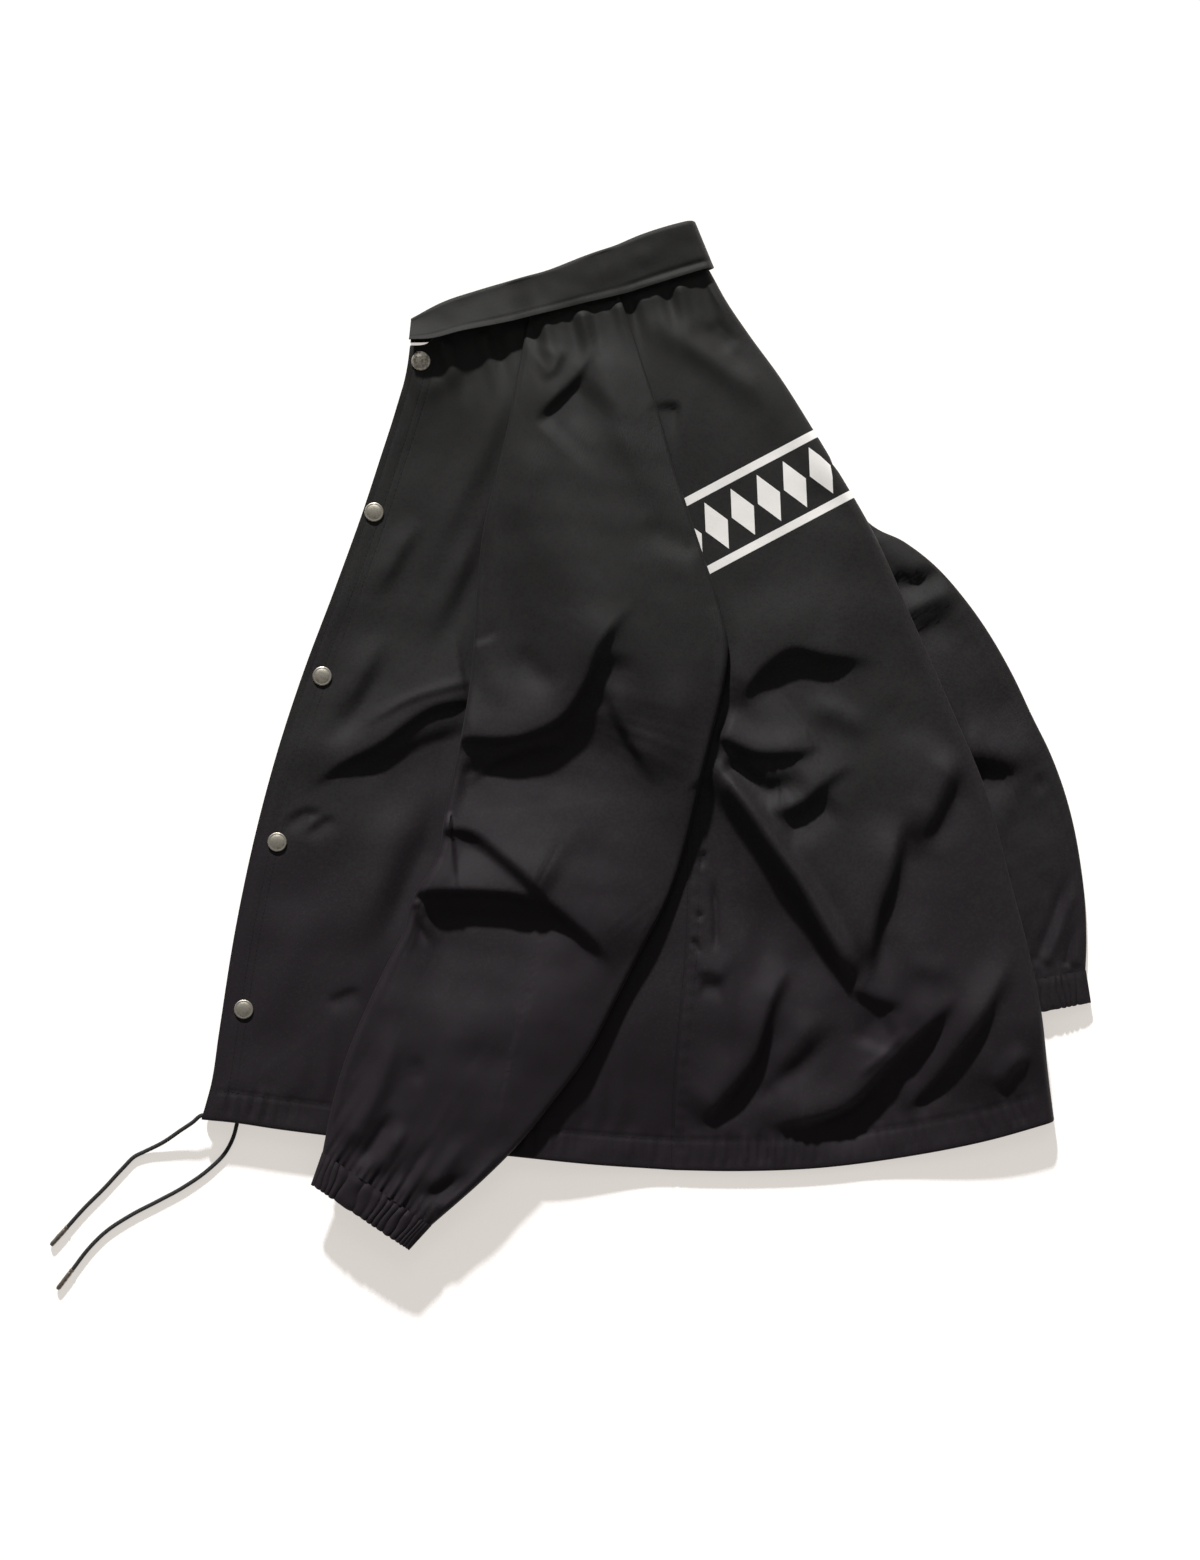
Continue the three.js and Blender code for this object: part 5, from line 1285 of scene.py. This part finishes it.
def plug(tree, slot, value):
    """Links a socket or sets a plain value."""
    if isinstance(value, Value):
        tree.links.new(value.socket, slot)
    elif isinstance(value, (tuple, list)) and len(value) == 3 and len(slot.default_value) == 4:
        slot.default_value = (*value, 1)
    else:
        slot.default_value = value


class Finish:
    """A material with its node tree and a Principled shader."""

    def __init__(self, name, **constants):
        self.material = bpy.data.materials.new(name)
        self.material.use_nodes = True
        self.tree = self.material.node_tree
        self.shader = self.tree.nodes["Principled BSDF"]
        self.set(**constants)

    def set(self, **sockets):
        """Sets or links the shader's sockets; an underscore stands for a space."""
        for key, value in sockets.items():
            plug(self.tree, self.shader.inputs[key.replace("_", " ")], value)

    def node(self, kind, settings, sockets, output=0):
        """Any other node: its type, its settings, then the values or links of its sockets."""
        node = self.tree.nodes.new(kind)
        for key, value in settings.items():
            setattr(node, key, value)
        for key, value in sockets.items():
            plug(self.tree, node.inputs[key], value)
        return Value(self.tree, node.outputs[output])

    def place(self):
        return self.node("ShaderNodeTexCoord", {}, {}, "Object")

    def noise(self, vector, scale, detail=3.0, rough=0.55):
        return self.node("ShaderNodeTexNoise", {}, {"Vector": vector, "Scale": scale,
                                                    "Detail": detail, "Roughness": rough})

    def parts(self, vector):
        """The three numbers of a vector."""
        node = self.tree.nodes.new("ShaderNodeSeparateXYZ")
        plug(self.tree, node.inputs[0], vector)
        return [Value(self.tree, socket) for socket in node.outputs]

    def blend(self, share, first, second):
        """A colour between two."""
        return self.node("ShaderNodeMix", {"data_type": "RGBA"}, {0: share, 6: first, 7: second}, 2)

    def bump(self, height, distance, strength=1.0):
        """A normal from a height of about 0 to 1, which stands for a distance in metres."""
        return self.node("ShaderNodeBump", {}, {"Height": height, "Distance": distance,
                                                "Strength": strength})

    def along_cloth(self):
        """The distances across and down the cloth, in metres, from its UV map."""
        uv = self.node("ShaderNodeUVMap", {"uv_map": "cloth"}, {})
        return self.parts(uv)[:2]


# %% Cloth finish
BLACK = (0.0132, 0.0096, 0.0126)
# the paler colour: faded dye in slow patches, and painted light towards the neck end
FADED_AND_LIT = (0.0156, 0.0152, 0.0142)
INK = (0.79, 0.765, 0.735)


def nylon(name, printed=False):
    """Black nylon: a slow change of depth in its dye, painted light that makes it paler towards the
    neck end and darker towards the hem, a plain weave as the product of two sines across and down
    the cloth, and a fine slub."""
    cloth = Finish(name, IOR=1.45, Specular_IOR_Level=0.2, Sheen_Weight=0.02,
                   Sheen_Roughness=0.4)
    place = cloth.place()
    across, down = cloth.along_cloth()
    slow = cloth.noise(place, 9.0, 2.0)
    fine = cloth.noise(place, 420.0, 2.0)
    painted_light_falloff = cloth.parts(place)[1]
    # painted light: the height up the body makes the cloth paler towards the neck end and darker towards the hem;
    # the noises are the dye's own tone
    tone = slow * 0.9 + painted_light_falloff * 1.6 + (fine - 0.5) * 2.6
    colour = cloth.blend(tone.between(0.05, 0.85), BLACK, FADED_AND_LIT)
    weave = (across * (math.pi / 0.00045)).sine() * (down * (math.pi / 0.00045)).sine()
    height = weave * 0.5 + fine * 0.9
    rough = 0.52 + slow * 0.08 + fine * 0.06
    if printed:
        a = cloth.node("ShaderNodeAttribute", {"attribute_name": "band_across"}, {}, "Fac")
        b = cloth.node("ShaderNodeAttribute", {"attribute_name": "band_along"}, {}, "Fac")
        outside = cloth.node("ShaderNodeAttribute", {"attribute_name": "outside"}, {}, "Fac")
        away = b.size()
        step = (a / 0.023).math("FRACT") - 0.5
        diamond = 1 - (step.size() * (0.023 / 0.0098) + away / 0.0205).between(0.985, 1.0)
        stripe = (away - 0.0275).size().between(0.0034, 0.0031)
        ends = (a.size()).between(0.166, 0.1655)
        ink = (diamond + stripe).math("MINIMUM", 1.0) * ends * outside.between(0.4, 0.6)
        colour = cloth.blend(ink * (0.965 + fine * 0.06).math("MINIMUM", 1.0), colour, INK)
        rough = rough * (1 - ink) + ink * 0.7
        height = height * (1 - ink * 0.45) + ink * 0.6
    cloth.set(Base_Color=colour, Roughness=rough, Normal=cloth.bump(height, 0.0001))
    return cloth.material


def braid(name):
    """Braided cord: two sets of strands that cross as diamonds, from sines of the distances
    around and along it, with painted shade that darkens the low places between the strands."""
    cord = Finish(name, IOR=1.45, Sheen_Weight=0.1, Sheen_Roughness=0.5)
    around, along = cord.along_cloth()
    turn = around * (6 / 0.0016)
    climb = along * (2 * math.pi / 0.0046)
    strands = (turn + climb).sine().size().math("MAXIMUM", (turn - climb).sine().size())
    fuzz = cord.noise(cord.place(), 900.0, 2.0)
    # painted shade: the colour is darkest where the strands are lowest, between them
    colour = cord.blend(strands.between(0.5, 1.0), (0.004, 0.004, 0.004), (0.014, 0.0138, 0.014))
    cord.set(Base_Color=colour, Roughness=0.62 + fuzz * 0.2,
             Normal=cord.bump(strands * 0.8 + fuzz * 0.3, 0.0004))
    return cord.material


def tumbled(name, dark, light, rough, scale):
    """Tumbled metal: a plated colour that is darker in cloudy patches, with small pits."""
    metal = Finish(name, Metallic=1.0)
    place = metal.place()
    cloud = metal.noise(place, scale, 5.0, 0.65)
    pits = metal.noise(place, scale * 3.5, 3.0, 0.6)
    patina = cloud.between(0.36, 0.62)
    metal.set(Base_Color=metal.blend(patina, dark, light),
              Roughness=rough + (1 - patina) * 0.22,
              Normal=metal.bump(cloud * 0.5 + pits * 0.5, 0.00012))
    return metal.material


def thread(name):
    """Polyester thread: the cloth's black with a slightly brighter twist."""
    yarn = Finish(name, IOR=1.45, Specular_IOR_Level=0.15)
    twist = yarn.noise(yarn.place(), 1500.0, 1.0)
    yarn.set(Base_Color=yarn.blend(twist, (0.006, 0.0055, 0.006), (0.014, 0.013, 0.0135)),
             Roughness=0.48 + twist * 0.2)
    return yarn.material


shell = nylon("black_nylon")
shell_printed = nylon("black_nylon_printed", printed=True)
cord_braid = braid("black_braid")
cap_metal = tumbled("pewter_snap", (0.30, 0.27, 0.22), (0.66, 0.62, 0.53), 0.34, 420.0)
tip_metal = tumbled("dark_tip", (0.16, 0.14, 0.12), (0.42, 0.37, 0.32), 0.28, 300.0)
sewing = thread("black_thread")


def dress(piece, material):
    piece.data.materials.clear()
    piece.data.materials.append(material)


for piece in (left_front, right_front, left_sleeve, right_sleeve, left_cuff, right_cuff, collar):
    dress(piece, shell)
dress(back, shell_printed)
for piece in cords:
    dress(piece, cord_braid)
for piece in caps:
    dress(piece, cap_metal)
for piece in tips:
    dress(piece, tip_metal)
dress(stitching, sewing)
for number in range(1, 6):
    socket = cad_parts[f"snap_socket_{number}"]
    dress(socket, cap_metal)

# %% Floor
floor_mesh = bpy.data.meshes.new("floor")
floor_mesh.from_pydata([(-6, -6, -0.0004), (6, -6, -0.0004), (6, 6, -0.0004), (-6, 6, -0.0004)], [],
                       [(0, 1, 2, 3)])
floor = bpy.data.objects.new("floor", floor_mesh)
bpy.context.scene.collection.objects.link(floor)
plaster = Finish("pale_plaster", Roughness=0.9, IOR=1.3)
grain = plaster.noise(plaster.place(), 260.0, 3.0)
plaster.set(Base_Color=plaster.blend(grain, (0.55, 0.55, 0.55), (0.61, 0.61, 0.61)),
            Normal=plaster.bump(grain, 0.0002), Emission_Color=(1.0, 0.93, 0.87),
            Emission_Strength=0.57)
dress(floor, plaster.material)

# %% [markdown]
# ## Join the frame
# Each cloth rides on the jacket's one body and stands for its CAD solid, which is hidden. Its row
# gives its CAD node, the size of its cut, its area and the cloths that lie under it.

# %% Attach
CUTS = [
    (right_sleeve, "right_sleeve", (0.52, 0.62), 0.22, []),
    (right_cuff, "right_cuff", (0.17, 0.03), None, []),
    (right_front, "right_front", (0.34, 0.68), 0.18, [right_sleeve]),
    (back, "back", (0.64, 0.74), 0.37, [right_sleeve, right_front]),
    (left_front, "left_front", (0.34, 0.68), 0.17, [right_front]),
    (left_sleeve, "left_sleeve", (0.46, 0.76), 0.24, [left_front, back]),
    (left_cuff, "left_cuff", (0.19, 0.03), None, []),
    (collar, "collar", (0.46, 0.09), None, [back, left_front]),
]
for piece, node, flat, area, under in CUTS:
    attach(piece, "root")
    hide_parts(node)
for number, cap in enumerate(caps, 1):
    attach(cap, "root")
    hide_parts(f"snap_cap_{number}")
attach(stitching, "root")
